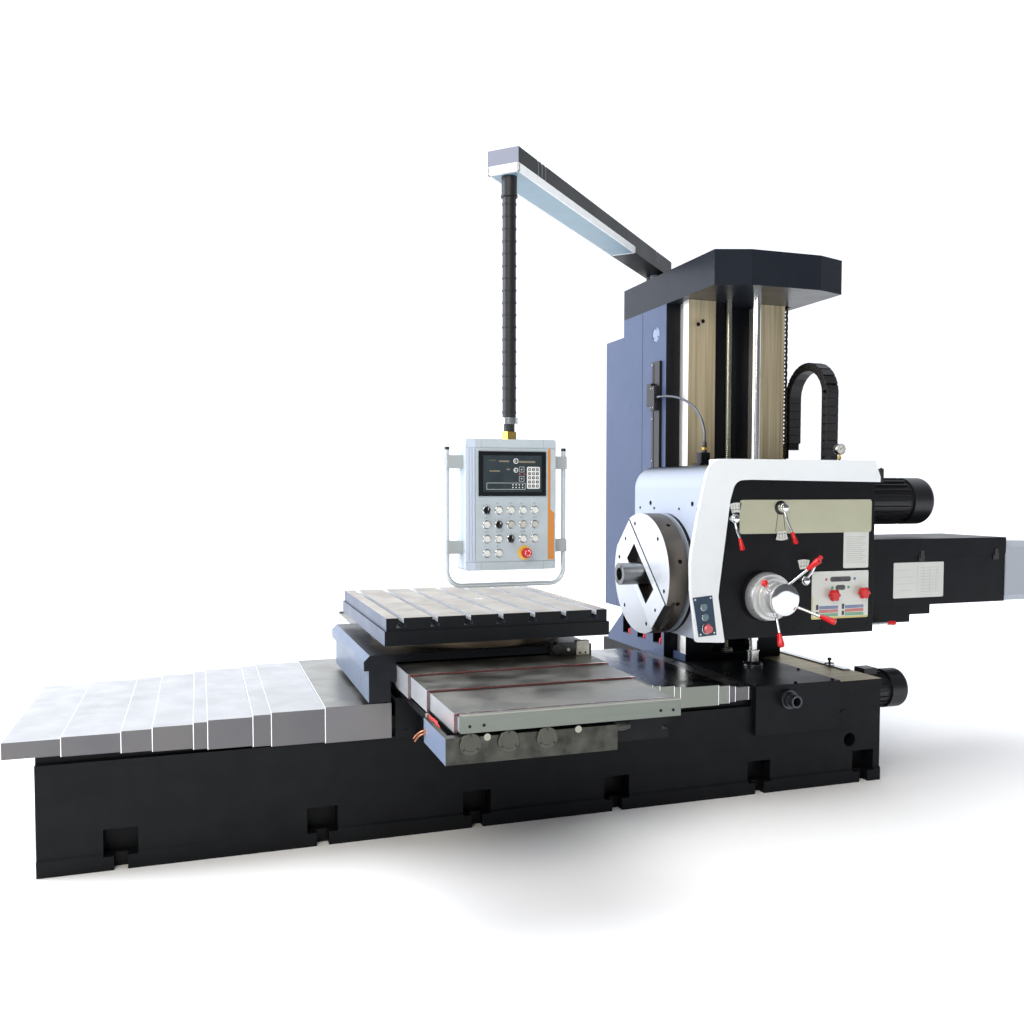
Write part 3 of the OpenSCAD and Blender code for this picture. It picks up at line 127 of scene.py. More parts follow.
def relief(material, depth, height=None, edge=1.5):
    """Rounds the edges by edge mm and raises the surface by depth mm times the height."""
    rounded = node(material, "Bevel", {"Radius": edge * MM}, samples=4).outputs[0]
    if height is not None:
        lift = {"Strength": 1.0, "Distance": depth * MM, "Height": height, "Normal": rounded}
        rounded = node(material, "Bump", lift).outputs[0]
    shader = material.node_tree.nodes["Principled BSDF"]
    material.node_tree.links.new(rounded, shader.inputs["Normal"])


def finish(name, colour, metallic, roughness, stain=None, grit=None, **more):
    """A Principled material; stain is (grain mm, share, colour) and grit (depth, grain, edge) mm."""
    material = bpy.data.materials.new(name)
    material.use_nodes = True
    sockets = material.node_tree.nodes["Principled BSDF"].inputs
    values = {"Base Color": linear(colour), "Metallic": metallic, "Roughness": roughness, **more}
    for key, value in values.items():
        sockets[key].default_value = value
    if stain:
        size, share, tint = stain
        overlay(material, grain(material, size, high=share), tint)
    if grit:
        depth, size, edge = grit
        relief(material, depth, grain(material, size), edge)
    return material


# Matt white paper, which throws soft light back; far off it is lit from below.
paper = finish("studio_paper", "#f6f6f5", 0.0, 0.9, (900, 1.0, "#fbfbfa"),
               **{"Emission Color": linear("#ffffff")})
spot = node(paper, "TexCoord").outputs["Object"]
away = node(paper, "VectorMath", {0: spot}, operation="LENGTH").outputs["Value"]
swept_up = node(paper, "MapRange", {"Value": away, "From Min": 3.2, "From Max": 8.0,
                                    "To Min": 0.0, "To Max": 0.5})
overlay(paper, swept_up.outputs[0], glow=1.0)
floor_reach = 40  # metres from the middle to each side
floor = bpy.data.objects.new("floor", bpy.data.meshes.new("floor"))
floor.data.from_pydata([(x * floor_reach, y * floor_reach, 0) for x, y in
                        ((-1, -1), (1, -1), (1, 1), (-1, 1))], [], [(0, 1, 2, 3)])
floor.data.materials.append(paper)
bpy.context.scene.collection.objects.link(floor)

hall = bpy.data.worlds.new("hall")
hall.use_nodes = True
bpy.context.scene.world = hall
sky = node(hall, "SeparateXYZ", {0: node(hall, "TexCoord").outputs["Generated"]})
from_behind = node(hall, "MapRange", {"Value": sky.outputs["Y"], "From Min": -0.35, "From Max": 0.15,
                                      "To Min": 0.10, "To Max": 1.0}).outputs[0]
from_left = node(hall, "MapRange", {"Value": sky.outputs["X"], "From Min": 0.5, "From Max": -0.6,
                                    "To Min": 1.25, "To Max": 2.4}).outputs[0]
walls = node(hall, "Mix", {0: from_behind, 6: linear("#2c2e33"), 7: linear("#eef2fa")},
             data_type="RGBA").outputs[2]
hall.node_tree.links.new(walls, hall.node_tree.nodes["Background"].inputs["Color"])
hall.node_tree.links.new(from_left, hall.node_tree.nodes["Background"].inputs["Strength"])


def lamp(name, position, target, size, power, colour):
    """A soft square lamp that looks at a point; positions are in metres."""
    light = bpy.data.lights.new(name, "AREA")
    light.size, light.energy, light.color = size, power, linear(colour)[:3]
    holder = bpy.data.objects.new(name, light)
    holder.location = position
    holder.rotation_euler = (Vector(target) - Vector(position)).to_track_quat("-Z", "Y").to_euler()
    bpy.context.scene.collection.objects.link(holder)


lamp("window_left", (-7.5, 2.0, 4.2), (0.8, 0.0, 1.0), 4.0, 500, "#f0f4ff")
lamp("ceiling", (0.0, 0.5, 7.0), (0.5, 0.0, 0.8), 5.0, 260, "#ffffff")
lamp("fill_front", (-3.5, -6.5, 5.0), (0.4, -0.2, 1.0), 3.5, 300, "#fff6e6")

# Standing eye height in front of the bed's left end, turned a little right and down.
camera = bpy.data.objects.new("camera", bpy.data.cameras.new("camera"))
camera.location = (-1.3357, -4.3448, 1.4687)
camera.rotation_euler = (math.radians(90 - 2.713), 0, math.radians(-18.239))
camera.data.sensor_width = 36
camera.data.lens = 32.52234
camera.data.shift_x, camera.data.shift_y = 0.008291, 0.022080
bpy.context.scene.collection.objects.link(camera)
bpy.context.scene.camera = camera
bpy.context.scene.view_settings.view_transform = "Standard"


# ---- Bed -------------------------------------------------------------------
# One grey-iron casting, planed on top and filled, rubbed down and enamelled on its sides.
# The guideways are ground and carry a film of way oil.
bed_top = 520


def enamel(name, colour, roughness, edge=2.0, worn="#2e3136"):
    """Two-pack machine enamel, sprayed: a slight orange peel, worn a little duller in places."""
    made = finish(name, colour, 0.0, roughness, **{"IOR": 1.5, "Specular IOR Level": 0.14})
    overlay(made, grain(made, 260), roughness=roughness + 0.10)
    overlay(made, grain(made, 90, high=0.10), worn)
    relief(made, 0.05, grain(made, 9, detail=1.0), edge)  # real peel is 1 to 2 mm, too fine to show
    return made


def coat(material, *names):
    """Gives CAD nodes this material."""
    for name in names:
        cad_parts[name].material_slots[0].material = material


def ground(material, mask, dark, light, stretch):
    """Ground cast iron under way oil: fine streaks along the travel, warm where the oil has aged."""
    streaks = node(material, "Mix", {0: grain(material, 18, stretch=stretch), 6: linear(dark),
                                     7: linear(light)}, data_type="RGBA").outputs[2]
    overlay(material, mask, streaks, 0.6, 0.42)


def swung(angle, axis="Z"):
    """A swing by an angle in degrees."""
    return Matrix.Rotation(math.radians(angle), 4, axis)


def place(x, y, z, side="front", turn=0.0):
    """From a piece's own plan, u right, v up and w out of the face in mm, to the machine's metres."""
    across, up = {"front": ((1, 0, 0), (0, 0, 1)), "back": ((-1, 0, 0), (0, 0, 1)),
                  "left": ((0, -1, 0), (0, 0, 1)), "right": ((0, 1, 0), (0, 0, 1)),
                  "top": ((1, 0, 0), (0, 1, 0))}[side]
    axes = Matrix((across, up, Vector(across).cross(Vector(up)))).transposed().to_4x4()
    return Matrix.Translation(Vector((x, y, z)) * MM) @ axes @ swung(turn) @ Matrix.Scale(MM, 4)


def on_circle(radius, angle, u=0.0, v=0.0):
    """The point on a circle round (u, v), at an angle in degrees."""
    a = math.radians(angle)
    return u + radius * math.cos(a), v + radius * math.sin(a)


def outline(width, height, radius=0.0, steps=5):
    """Rectangle with round corners, anticlockwise, centred."""
    if not radius:
        return [(s * width / 2, t * height / 2) for s, t in ((-1, -1), (1, -1), (1, 1), (-1, 1))]
    return [on_circle(radius, start + 90 * i / steps, s * (width / 2 - radius), t * (height / 2 - radius))
            for s, t, start in ((1, 1, 0), (-1, 1, 90), (-1, -1, 180), (1, -1, 270))
            for i in range(steps + 1)]


def disc(radius, sides=32):
    """Round or many-sided outline."""
    turns = [2 * math.pi * i / sides for i in range(sides)]
    return [(radius * math.cos(a), radius * math.sin(a)) for a in turns]


def loft(bm, rings):
    """Skin over rings of points in metres, closed at both ends."""
    rings = [[bm.verts.new(point) for point in ring] for ring in rings]
    for below, above in zip(rings, rings[1:]):
        for i, corner in enumerate(below):
            bm.faces.new((below[i - 1], corner, above[i], above[i - 1]))
    bm.faces.new(rings[0][::-1])
    bm.faces.new(rings[-1])


def prism(bm, where, points, low, high):
    """Block on a closed outline, from w = low to w = high."""
    loft(bm, [[where @ Vector((u, v, w)) for u, v in points] for w in (low, high)])


def turning(bm, where, profile, sides=32):
    """Turned piece: the profile is (radius, w) from one end to the other, closed at radius 0."""
    rings = []
    for radius, w in profile:
        ring = disc(radius, sides) if radius else [(0, 0)]
        rings.append([bm.verts.new(where @ Vector((u, v, w))) for u, v in ring])
    for below, above in zip(rings, rings[1:]):
        for i in range(sides):
            corners = [below[i - 1], below[i % len(below)]] if len(below) > 1 else [below[0]]
            corners += [above[i % len(above)], above[i - 1]] if len(above) > 1 else [above[0]]
            bm.faces.new(corners)


def rod(bm, where, path, radii, sides=12):
    """Round bar along a path; radii is one radius or one for each point."""
    points = [Vector(p) for p in path]
    radii = radii if isinstance(radii, list) else [radii] * len(points)
    side = Vector((0, 0, 1))
    rings = []
    for i, (point, radius) in enumerate(zip(points, radii)):
        along = (points[min(i + 1, len(points) - 1)] - points[max(i - 1, 0)]).normalized()
        side = side - along * side.dot(along)
        side = side.normalized() if side.length > 0.1 else along.orthogonal().normalized()
        across = along.cross(side)
        rings.append([where @ (point + side * (radius * u) + across * (radius * v))
                      for u, v in disc(1, sides)])
    loft(bm, rings)


def piece(name, shapes, material, body, edge=0.0, smooth=35):
    """Makes an object of its shapes, rounds its edges by edge mm, and rides it on its body."""
    bm = bmesh.new()
    for shape, *values in shapes:
        shape(bm, *values)
    bmesh.ops.recalc_face_normals(bm, faces=bm.faces)
    mesh = bpy.data.meshes.new(name)
    bm.to_mesh(mesh)
    bm.free()
    mesh.materials.append(material)
    mesh.shade_smooth()
    mesh.set_sharp_from_angle(angle=math.radians(smooth))
    made = bpy.data.objects.new(name, mesh)
    bpy.context.scene.collection.objects.link(made)
    if edge:
        rounding = made.modifiers.new("edge", "BEVEL")
        rounding.width, rounding.segments, rounding.harden_normals = edge * MM, 2, True
        rounding.limit_method, rounding.angle_limit = "ANGLE", math.radians(smooth)
    if body:
        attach(made, body)
    return made


bed_enamel = enamel("black_machine_enamel_bed", "#0f1114", 0.36)
bare_end = zone(bed_enamel, ("Z", bed_top - 1, bed_top + 10), ("X", 1690, 1945))
ground(bed_enamel, bare_end, "#8d8468", "#b9ac84", (30, 1, 1))
coat(bed_enamel, "bed")

# Steel strip and its clamping knob on the right end of the bed.
steel = finish("turned_steel", "#c4c6c8", 1.0, 0.20, None, (0.02, 6, 0.8))  # a soft streaked glint
overlay(steel, grain(steel, 25), roughness=0.30)
piece("bed_end_strip", [(prism, place(1912, -6, bed_top, "top"), outline(42, 590), 0, 7)],
      steel, "base", 0.8)
knob_black = finish("black_phenolic", "#141517", 0.0, 0.28, None, (0.02, 15, 0.6))  # smooth, glassy
knob = place(1905, -165, bed_top + 7, "top")
piece("bed_end_knob", [
    (turning, knob, [(0, 0), (6, 0), (6, 22), (10, 25), (11, 32), (9, 37), (0, 38)]),
    (rod, knob, [(-27, 6, 6), (0, 0, 9), (25, -5, 6)], 4)], knob_black, "base", 0.5)

# ---- Feed gearbox ----------------------------------------------------------
# Cast-iron box let into the front of the bed, bolted through its lid. The stepped nose is a socket
# for the hand crank, turned and blued.


def shift(u, v=0, w=0):
    """A move in a piece's own plan, in mm."""
    return Matrix.Translation((u, v, w))


def screw(bm, where, radius, height):
    """Socket-head screw: a short turned head with a round hole for the key."""
    rings = [(radius * 0.94, 0), (radius, height * 0.15), (radius, height * 0.8), (radius * 0.9, height),
             (radius * 0.5, height), (radius * 0.5, height * 0.35)]
    loft(bm, [[where @ Vector((u, v, w)) for u, v in disc(r, 18)] for r, w in rings])


box_enamel = enamel("black_machine_enamel_gearbox", "#111317", 0.34)
nose = zone(box_enamel, ("Y", -640, -552), ("Z", 405, 515))
overlay(box_enamel, nose, "#4f5357", 0.9, 0.36)
coat(box_enamel, "bed_gearbox")
lid_top = 531
blacked = finish("blacked_steel", "#2b2b2d", 1.0, 0.35, None, (0.02, 8, 0.4))  # dark, a dull shine
piece("gearbox_lid_screws", [
    (screw, place(x, y, lid_top, "top"), 8, 7)
    for x, y in ((1215, -525), (1645, -525), (1215, -250), (1645, -250), (1430, -525))], blacked, "base")
shaft_x, shaft_y = 1478, -80
piece("shaft_collar_flange", [
    (prism, place(shaft_x, shaft_y, 556, "top"), disc(52, 40), -24, -14),
    *((screw, place(shaft_x, shaft_y, 546, "top", 45 + 90 * i) @ shift(47), 5, 4) for i in range(4))],
    steel, "base", 0.8)

# ---- Feed motor ------------------------------------------------------------
# Flanged servo motor, die-cast and dip-painted black; the fins run along it and a pressed cowl
# covers the fan. The paint is a dull black, softly pebbled.
motor_paint = finish("motor_black_paint", "#16171a", 0.0, 0.40, None, (0.06, 10, 1.5), IOR=1.5)
coat(motor_paint, "feed_motor", "main_motor")
for body, centre, reach in (("base", (2235, -300, 412), 78), ("headstock", (2501, -150, 1412), 98)):
    grille = []
    for k in range(5):
        rim = reach - k * reach / 5.5
        grille.append((turning, place(*centre, "right"),
                       [(rim - 3, -2), (rim, -2), (rim, 0.6), (rim - 3, 0.6), (rim - 3, -2)], 36))
    for k in range(4):
        grille.append((prism, place(*centre, "right", 45 + 90 * k), outline(2 * reach, 4), -3, -1))
    piece("fan_grille_" + body, grille, blacked, body)

# ---- Column ----------------------------------------------------------------
# Hollow cast-iron column in slate enamel. Its two upright guideways are ground, and years of way
# oil leave them straw-coloured.
# The slate is the lighter tone the column shows where the light from the left falls on it, so the slate
# itself carries painted light.
slate_lit_code = "#4c5873"
column_x = 1164
way_front, way_back = 150, 329
way_foot, way_bare, way_top = 561, 790, 2600


coat(enamel("slate_machine_enamel", slate_lit_code, 0.27), "rear_guard")
# The cap takes the column's slate enamel painted darker all over: painted shade.
coat(enamel("slate_enamel_cap_painted_shade", "#20242c", 0.27), "column_cap")
column_enamel = enamel("slate_machine_enamel_column", slate_lit_code, 0.27)
# Faces turned to the front are painted near black: painted shade, as they face away from the light.
overlay(column_enamel, [("Y", -1)], "#15171c")
# The ground finish starts at way_bare. Below it the ways keep the enamel, so their fronts take the
# painted shade too.
upright = zone(column_enamel, ("Y", way_front, way_back), ("Z", way_bare, way_top))
ground(column_enamel, upright, "#a99b7c", "#d6c8a8", (1, 1, 40))
# The flanks of the ways turned to the left are painted near white: a painted highlight.
flank_highlight = zone(column_enamel, ("Y", way_front, way_back), ("Z", way_foot, way_top), ("X", -1))
overlay(column_enamel, flank_highlight, "#eceae4", 0.6, 0.3)
coat(column_enamel, "column")
cover_y, cover_z = 453, 2360
pale_slate = enamel("pale_slate_enamel_side_cover", "#8893ab", 0.27, 0.5)
piece("column_side_cover", [
    (turning, place(column_x + 3, cover_y, cover_z, "left"),
     [(0, 0), (40, 0), (40, 2.4), (38, 3), (0, 3)], 40)], pale_slate, "base", 0.5)
piece("column_screws", [
    *((screw, place(column_x + 0.4, cover_y, cover_z, "left", 90 + 120 * k) @ shift(32), 4, 3)
      for k in range(3)),
    # plugs over the holding-down screws, high on the left guideway
    *((turning, place(1262 + (z - 2380) * 1.6, way_front, z - 6),
       [(0, -2), (11, -2), (11, 0.2), (10, 0.4), (0, 0.4)], 24) for z in (2398, 2380))], blacked, "base")

# Side of the column: bolts in the foot pockets, a linear scale with its reading head.
# Matt black, hardly any shine.
fittings = finish("black_anodised_rail", "#0c0d10", 0.0, 0.40, None, (0.03, 12, 1.0))
overlay(fittings, [("Z", 622, 660)], "#b3191c", 0.0, 0.3)
overlay(fittings, [("Z", 585, 622)], "#6d6f72", 0.9)
scale_line = zone(fittings, ("Y", 440, 448), ("Z", 1080, 1920))
overlay(fittings, scale_line, "#c9c4a8", 0.8)
coat(fittings, "column_fittings")
piece("scale_screws", [
    *((screw, place(1148, 460, z, "left"), 5, 3.5) for z in (1078, 1360, 1640, 1880, 2186)),
    *((screw, place(1118, y, z, "left"), 4, 2.5) for z in (1940, 2048) for y in (395, 424))],
    steel, "base")

# Red plastic caps on the column's anchor bolts, which stand at the mouths of the foot pockets.
cap_red = finish("red_polythene_cap", "#d3161c", 0.0, 0.35, (12, 0.4, "#b01016"))  # waxy red
pocket_y = (411, 611, 809)
piece("anchor_bolt_caps", [
    (turning, place(column_x + 15, y - 27, 592, "top"),
     [(0, 0), (15, 0), (15, 22), (13.5, 30), (8, 34), (0, 35)], 20) for y in pocket_y], cap_red, "base")

# ---- Reading head's hose ---------------------------------------------------
# Armoured metal hose from the reading head to its gland on the headstock: a wound bright steel
# strip over the signal cable, 14 mm across, which keeps the bow it was fitted with.
hose_route = [(1133, 365.5, 1996), (1133, 330, 1996), (1133, 250, 1990), (1134, 150, 1975),
              (1136, 50, 1945), (1138, -40, 1898), (1140, -100, 1838), (1141, -128, 1780),
              (1141, -134, 1723.3)]


def smooth_path(route, steps):
    """Catmull-Rom points along a route, evenly cut between its points."""
    first, last = Vector(route[0]) * 2 - Vector(route[1]), Vector(route[-1]) * 2 - Vector(route[-2])
    ends = [first] + [Vector(p) for p in route] + [last]
    points = []
    for a, b, c, d in zip(ends, ends[1:], ends[2:], ends[3:]):
        for i in range(steps):
            t = i / steps
            points.append(0.5 * (2 * b + (c - a) * t + (2 * a - 5 * b + 4 * c - d) * t * t
                                 + (3 * b - a - 3 * c + d) * t ** 3))
    return points + [Vector(route[-1])]


in_machine = Matrix.Scale(MM, 4)  # from the machine's millimetres to metres
hose_line = smooth_path(hose_route, 16)
wound = [6.9 if i % 2 else 6.0 for i in range(len(hose_line))]
# Bright turns, dark between them.
armour = finish("wound_steel_hose", "#5f636b", 1.0, 0.30, None, (0.02, 9, 0.3))
hose = piece("reader_hose_armour", [(rod, in_machine, hose_line, wound, 12)], armour, None)
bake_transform(hose)
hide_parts("reader_hose")

# ---- Cable chain -----------------------------------------------------------
# Moulded nylon links pinned end to end. One leg hangs from the column, one stands on the headstock,
# and the bend between them rises half as far as the headstock.
nylon = finish("black_nylon", "#191a1c", 0.0, 0.48, None, (0.08, 12, 1.0))  # glass-filled, matt
chain_x, chain_y, chain_z = 1970, 117, 1999  # the middle of the bend
bend_radius = 166
link_pitch, bend_links = 46, 11
leg_foot = {"fixed": 1745, "moving": 1561}


def box(u0, u1, v0, v1):
    """Rectangle from two of its corners."""
    return [(u0, v0), (u1, v0), (u1, v1), (u0, v1)]


def chain_link(bm, y, z, turn):
    """One link, w across the chain: two side plates with their pins, an inner and an outer lid."""
    where = place(chain_x, y, z, "right", turn)
    for s in (-1, 1):
        prism(bm, where, outline(54, 40, 12, 4), s * 36 - 4, s * 36 + 4)
        turning(bm, where @ shift(0, 0, s * 40), [(0, -2), (9, -2), (9, 1.5), (0, 1.5)], 16)
    for v in (-1, 1):
        prism(bm, where, box(-22, 22, v * 21 - 2, v * 21 + 2), -38, 38)


def chain_leg(name, y, foot, body):
    """An upright leg from its foot to the bend."""
    heights = range(foot + link_pitch // 2, chain_z, link_pitch)
    return piece(name, [(chain_link, y, z, 90) for z in heights], nylon, body, 0.8)


fixed_leg = chain_leg("cable_chain_fixed_links", chain_y + bend_radius, leg_foot["fixed"], None)
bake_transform(fixed_leg)
bend_turns = [180 * (k + 0.5) / bend_links for k in range(bend_links)]
bend = piece("cable_chain_bend_links", [
    (chain_link, *on_circle(bend_radius, turn, chain_y, chain_z), turn + 90) for turn in bend_turns],
    nylon, "cable_chain_bend", 0.8)
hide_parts("cable_chain_bend")
moving_leg = chain_leg("cable_chain_moving_links", chain_y - bend_radius, leg_foot["moving"], "headstock")
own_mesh(moving_leg)
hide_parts("cable_chain_moving")
piece("cable_chain_bracket", [
    (prism, place(1961.5, 283, 1655, "top"), outline(75, 40), 50, 90),
    (prism, place(1927, 326, 1655, "top"), outline(6, 126), 0, 90),
    *((screw, place(1930, y, 1680, "right"), 7, 6) for y in (340, 372))], blacked, "base", 1.0)
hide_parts("cable_chain_fixed")

# ---- Lift chain ------------------------------------------------------------
# Two-strand roller chain from the headstock over a sprocket in the head cover to the counterweight
# inside the column: side plates stamped to a waist, pins riveted, all dark brown with grease that
# gives wet glints.
chain_steel = finish("greased_chain_steel", "#5a5148", 1.0, 0.33, None, (0.05, 10, 0.5))
lift_x, sprocket_y, sprocket_z, sprocket_r = 1858, 315, 2560, 100
pin_pitch, round_links = 22, 14


def lift_link(bm, y, z, turn, wide):
    """One pitch: a waisted plate on each side, inside or outside its neighbours, and a roller."""
    where = place(lift_x, y, z, "right", turn)
    half, rest = pin_pitch / 2, 14 if wide else 11.2
    waist = []
    for s in (1, -1):
        for i in range(9):
            a = math.radians(-100 + 25 * i) + (0 if s > 0 else math.pi)
            waist.append((s * half + 8.6 * math.cos(a), 8.6 * math.sin(a)))
    for s in (-1, 1):
        prism(bm, where, waist, s * rest - 1.2, s * rest + 1.2)
    for radius, reach, sides in ((3.4, 16.5, 10), (6.2, 9.5, 12)):
        pin = [(0, -reach), (radius, -reach), (radius, reach), (0, reach)]
        turning(bm, where @ shift(half), pin, sides)


def lift_run(name, y, foot):
    """A straight run from its foot up to the sprocket."""
    heights = range(foot, sprocket_z, pin_pitch)
    return piece(name, [(lift_link, y, z, 90, k % 2) for k, z in enumerate(heights)], chain_steel, None)


front_run = lift_run("lift_chain_front", sprocket_y - sprocket_r, 1630)
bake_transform(front_run)
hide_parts("lift_chain")
round_turns = [180 * (k + 0.5) / round_links for k in range(round_links)]
piece("lift_chain_round", [
    (lift_link, *on_circle(sprocket_r, turn, sprocket_y, sprocket_z), turn + 90, k % 2)
    for k, turn in enumerate(round_turns)], chain_steel, "base")
rear_run = lift_run("lift_chain_rear", sprocket_y + sprocket_r, 2222)
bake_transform(rear_run)
# Dark, with a broad dull shine.
sprocket_iron = finish("oiled_dark_iron", "#4a4744", 1.0, 0.40, None, (0.05, 14, 0.8))
coat(sprocket_iron, "chain_sprocket", "counterweight", "spindle_carriage")

# ---- Screws and shaft ------------------------------------------------------
# Feed screws with a rolled trapezoidal thread, and the splined shaft that takes the feed up to the
# headstock, ground bright between its collars.
thread_steel = finish("rolled_screw_steel", "#a5a698", 1.0, 0.26)  # bright crests under a film of oil
thread_pitch = 12
turns = node(thread_steel, "TexWave", {"Vector": node(thread_steel, "TexCoord").outputs["Object"],
                                       "Scale": math.pi / 10 / (thread_pitch * MM)}, bands_direction="Z")
threaded = zone(thread_steel, ("Z", way_foot, 1780))  # above this the screw runs in a plain sleeve
relief(thread_steel, 1.5, zone(thread_steel, turns.outputs[0], threaded), 0.5)
coat(thread_steel, "elevation_screw")
shaft_steel = finish("ground_shaft_steel", "#e4e4e2", 1.0, 0.16)  # ground and oiled, almost a mirror
overlay(shaft_steel, grain(shaft_steel, 40, stretch=(1, 1, 30), high=0.6), roughness=0.26)
relief(shaft_steel, 0.0, None, 0.8)
coat(shaft_steel, "drive_shaft", "bed_screw", "cross_screw")

# ---- Headstock -------------------------------------------------------------
# Grey-iron casting, filled and enamelled black. It slides on the column's guideways on keepers
# bolted behind them; eyebolts screw into its side and top for lifting.
head_left, head_front, head_top = 905, -515, 1595
head_enamel = enamel("black_machine_enamel_head", "#0f1013", 0.28, 4.0)
side_normal = node(head_enamel, "SeparateXYZ", {0: node(head_enamel, "NewGeometry").outputs["Normal"]})
left_face_sheen = node(head_enamel, "MapRange", {"Value": side_normal.outputs["X"], "From Min": -0.3,
                                           "From Max": -1.0}).outputs[0]
painted_sheen_panel = zone(head_enamel, left_face_sheen, ("X", 880, 1021))
overlay(head_enamel, painted_sheen_panel, "#aab3c3")  # painted sheen: the black enamel's left face is painted a pale grey, standing in for the reflection of the light from the left
coat(head_enamel, "headstock")
piece("headstock_screws", [
    *((screw, place(x, head_front, z), 6.5, 3) for x, z in
      ((1110, 1500), (1300, 1500), (1560, 1500), (1820, 1500), (1860, 800), (1420, 790), (1590, 790))),
    *((screw, place(head_left, y, 1380, "left"), 6.5, 3) for y in (-480, -300, -40, 120))],
    blacked, "headstock")
piece("lifting_hole_rims", [
    (turning, place(head_left, y, 1406, "left"),
     [(8.2, -0.5), (12, -0.5), (12, 1.2), (8.2, 1.2), (8.2, -0.5)], 24) for y in (2, -428)],
    blacked, "headstock")

# Moulded cover round the front of the headstock, sprayed gloss white. Its corners are swept round and
# its left edge folds back to meet the side of the casting.
white_enamel = enamel("white_gloss_enamel", "#e6ebef", 0.20, 3.0, "#cfd6dd")
cover_thick = 20


def swept(points, radii, steps=8):
    """Closed outline through the points, each corner rounded by its own radius."""
    made = []
    for i, (point, radius) in enumerate(zip(points, radii)):
        here, back, on = Vector(point), Vector(points[i - 1]), Vector(points[(i + 1) % len(points)])
        to_back, to_on = (back - here).normalized(), (on - here).normalized()
        if not radius:
            made.append((here.x, here.y))
            continue
        half = math.acos(max(-1, min(1, to_back.dot(to_on)))) / 2
        run = min(radius / math.tan(half), (back - here).length * 0.48, (on - here).length * 0.48)
        first, last = here + to_back * run, here + to_on * run
        for k in range(steps + 1):
            t = k / steps
            made.append((first * (1 - t) ** 2 + here * 2 * t * (1 - t) + last * t * t)[:])
    return made


cover_line = swept([(1026, 748), (989, 966), (993, 1010), (1048, 1425), (1076, 1518), (1170, 1521),
                    (1907, 1512), (1907, 1538), (1872, 1619), (934, 1619), (884, 1400), (836, 1150),
                    (840, 1000), (872, 758)],
                   [10, 60, 60, 90, 70, 0, 5, 12, 8, 100, 200, 400, 300, 12])
cover = piece("headstock_front_cover", [(prism, place(0, head_front, 0), cover_line, cover_thick, 0)],
              white_enamel, "headstock", 3.0, 30)
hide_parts("front_shroud")
left_edge = sorted((p for p in cover_line if p[0] < head_left and 760 < p[1] < 1560), key=lambda p: p[1])
fold = [[(x, head_front, z), (x, head_front - 3, z),
         (head_left + 0.4, head_front - 3 + (head_left - x) * 1.9, z),
         (head_left + 0.4, head_front + 1, z)] for x, z in left_edge]
piece("headstock_front_cover_return", [(loft, [[Vector(p) * MM for p in row] for row in fold])],
      white_enamel, "headstock", 0, 60)
piece("headstock_front_cover_top", [
    (prism, place(1429, -465, head_top, "top"), outline(860, 100), -2, 24)],
    white_enamel, "headstock", 3.0)

# ---- Plates on the headstock -----------------------------------------------
# Anodised and printed aluminium plates, screwed or glued to the enamel, round the levers, the hand
# wheel and the speed selectors.
plate_thick = 4
champagne = finish("champagne_anodised", "#c0c0a8", 0.50, 0.36, (260, 0.5, "#a8a890"))  # warm satin
relief(champagne, 0.03, grain(champagne, 5, stretch=(40, 1, 1)), 0.5)
long_plate = piece("long_plate", [
    (prism, place(1488, head_front, 1344), outline(760, 163, 14), 0, plate_thick)],
    champagne, "headstock", 0.6)
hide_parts("control_plates")
printed = finish("printed_aluminium", "#d3d6d1", 0.1, 0.36, (160, 0.4, "#bfc3bf"))  # matt off-white
chart_x, chart_z = 1688, 953
note_x, note_z = 1780, 1177
scale_r = 92  # from a lever's axis to the middle of its scale
scales = ((1086, 1389, 5, head_front), (1342, 1252, 182, head_front - plate_thick),
          (1472, 1110, 0, head_front))
fan = [(r * math.sin(math.radians(a)), r * math.cos(math.radians(a)) - scale_r)
       for r, run in ((scale_r + 23, range(-17, 18, 2)), (scale_r - 23, range(17, -18, -2))) for a in run]
piece("printed_plates", [
    (prism, place(chart_x, head_front, chart_z), outline(335, 236, 8), 0, plate_thick),
    (prism, place(note_x, head_front, note_z), outline(150, 186, 8), 0, 1.6),
    *((prism, place(x, y, z, "front", tilt), fan, 0, plate_thick) for x, z, tilt, y in scales)],
    printed, "headstock", 0.5)


def print_patch(ink, where, u, v, width, height, radius=0.0):
    """A printed patch, laid a tenth of a millimetre proud so that it shows as print."""
    ink.append((prism, where @ shift(u, v), outline(width, height, radius, 4), 0, 0.15))


def print_pieces(inks, codes, body, roughness, share, tint="#8a8c8c"):
    """One piece for each ink, a little uneven."""
    for name, code in codes.items():
        piece(name, inks[name], finish(name, code, 0.0, roughness, (30, share, tint)), body)


codes = {"print_black": "#25272a", "print_blue": "#3c5c98", "print_red": "#bf3f36",
         "print_green": "#3f9b6c", "print_yellow": "#d9c655"}
inks = {name: [] for name in codes}
black = inks["print_black"]
chart = place(chart_x, head_front - plate_thick, chart_z)
print_patch(inks["print_yellow"], chart, 0, -113, 331, 8)
print_patch(inks["print_yellow"], chart, -163, -60, 6, 98)
for side in (-1, 1):
    middle = side * 76 + 8
    for row, ink in enumerate((inks["print_blue"], inks["print_red"], inks["print_green"])):
        for line in range(3):
            print_patch(ink, chart, middle, -56 - row * 18.5 - line * 5.4, 112, 4.2)
    print_patch(black, chart, middle - 67, -59, 15, 26)
    print_patch(black, chart, middle - 67, -92, 15, 22)
print_patch(black, chart, 0, 78, 124, 25, 12)
print_patch(black, chart, 0, 36, 58, 25, 12)
for u, v, colour in ((-84, 78, "red"), (84, 78, "blue"), (-48, 36, "green"), (48, 36, "green")):
    print_patch(inks["print_" + colour], chart, u, v, 13, 13, 2)
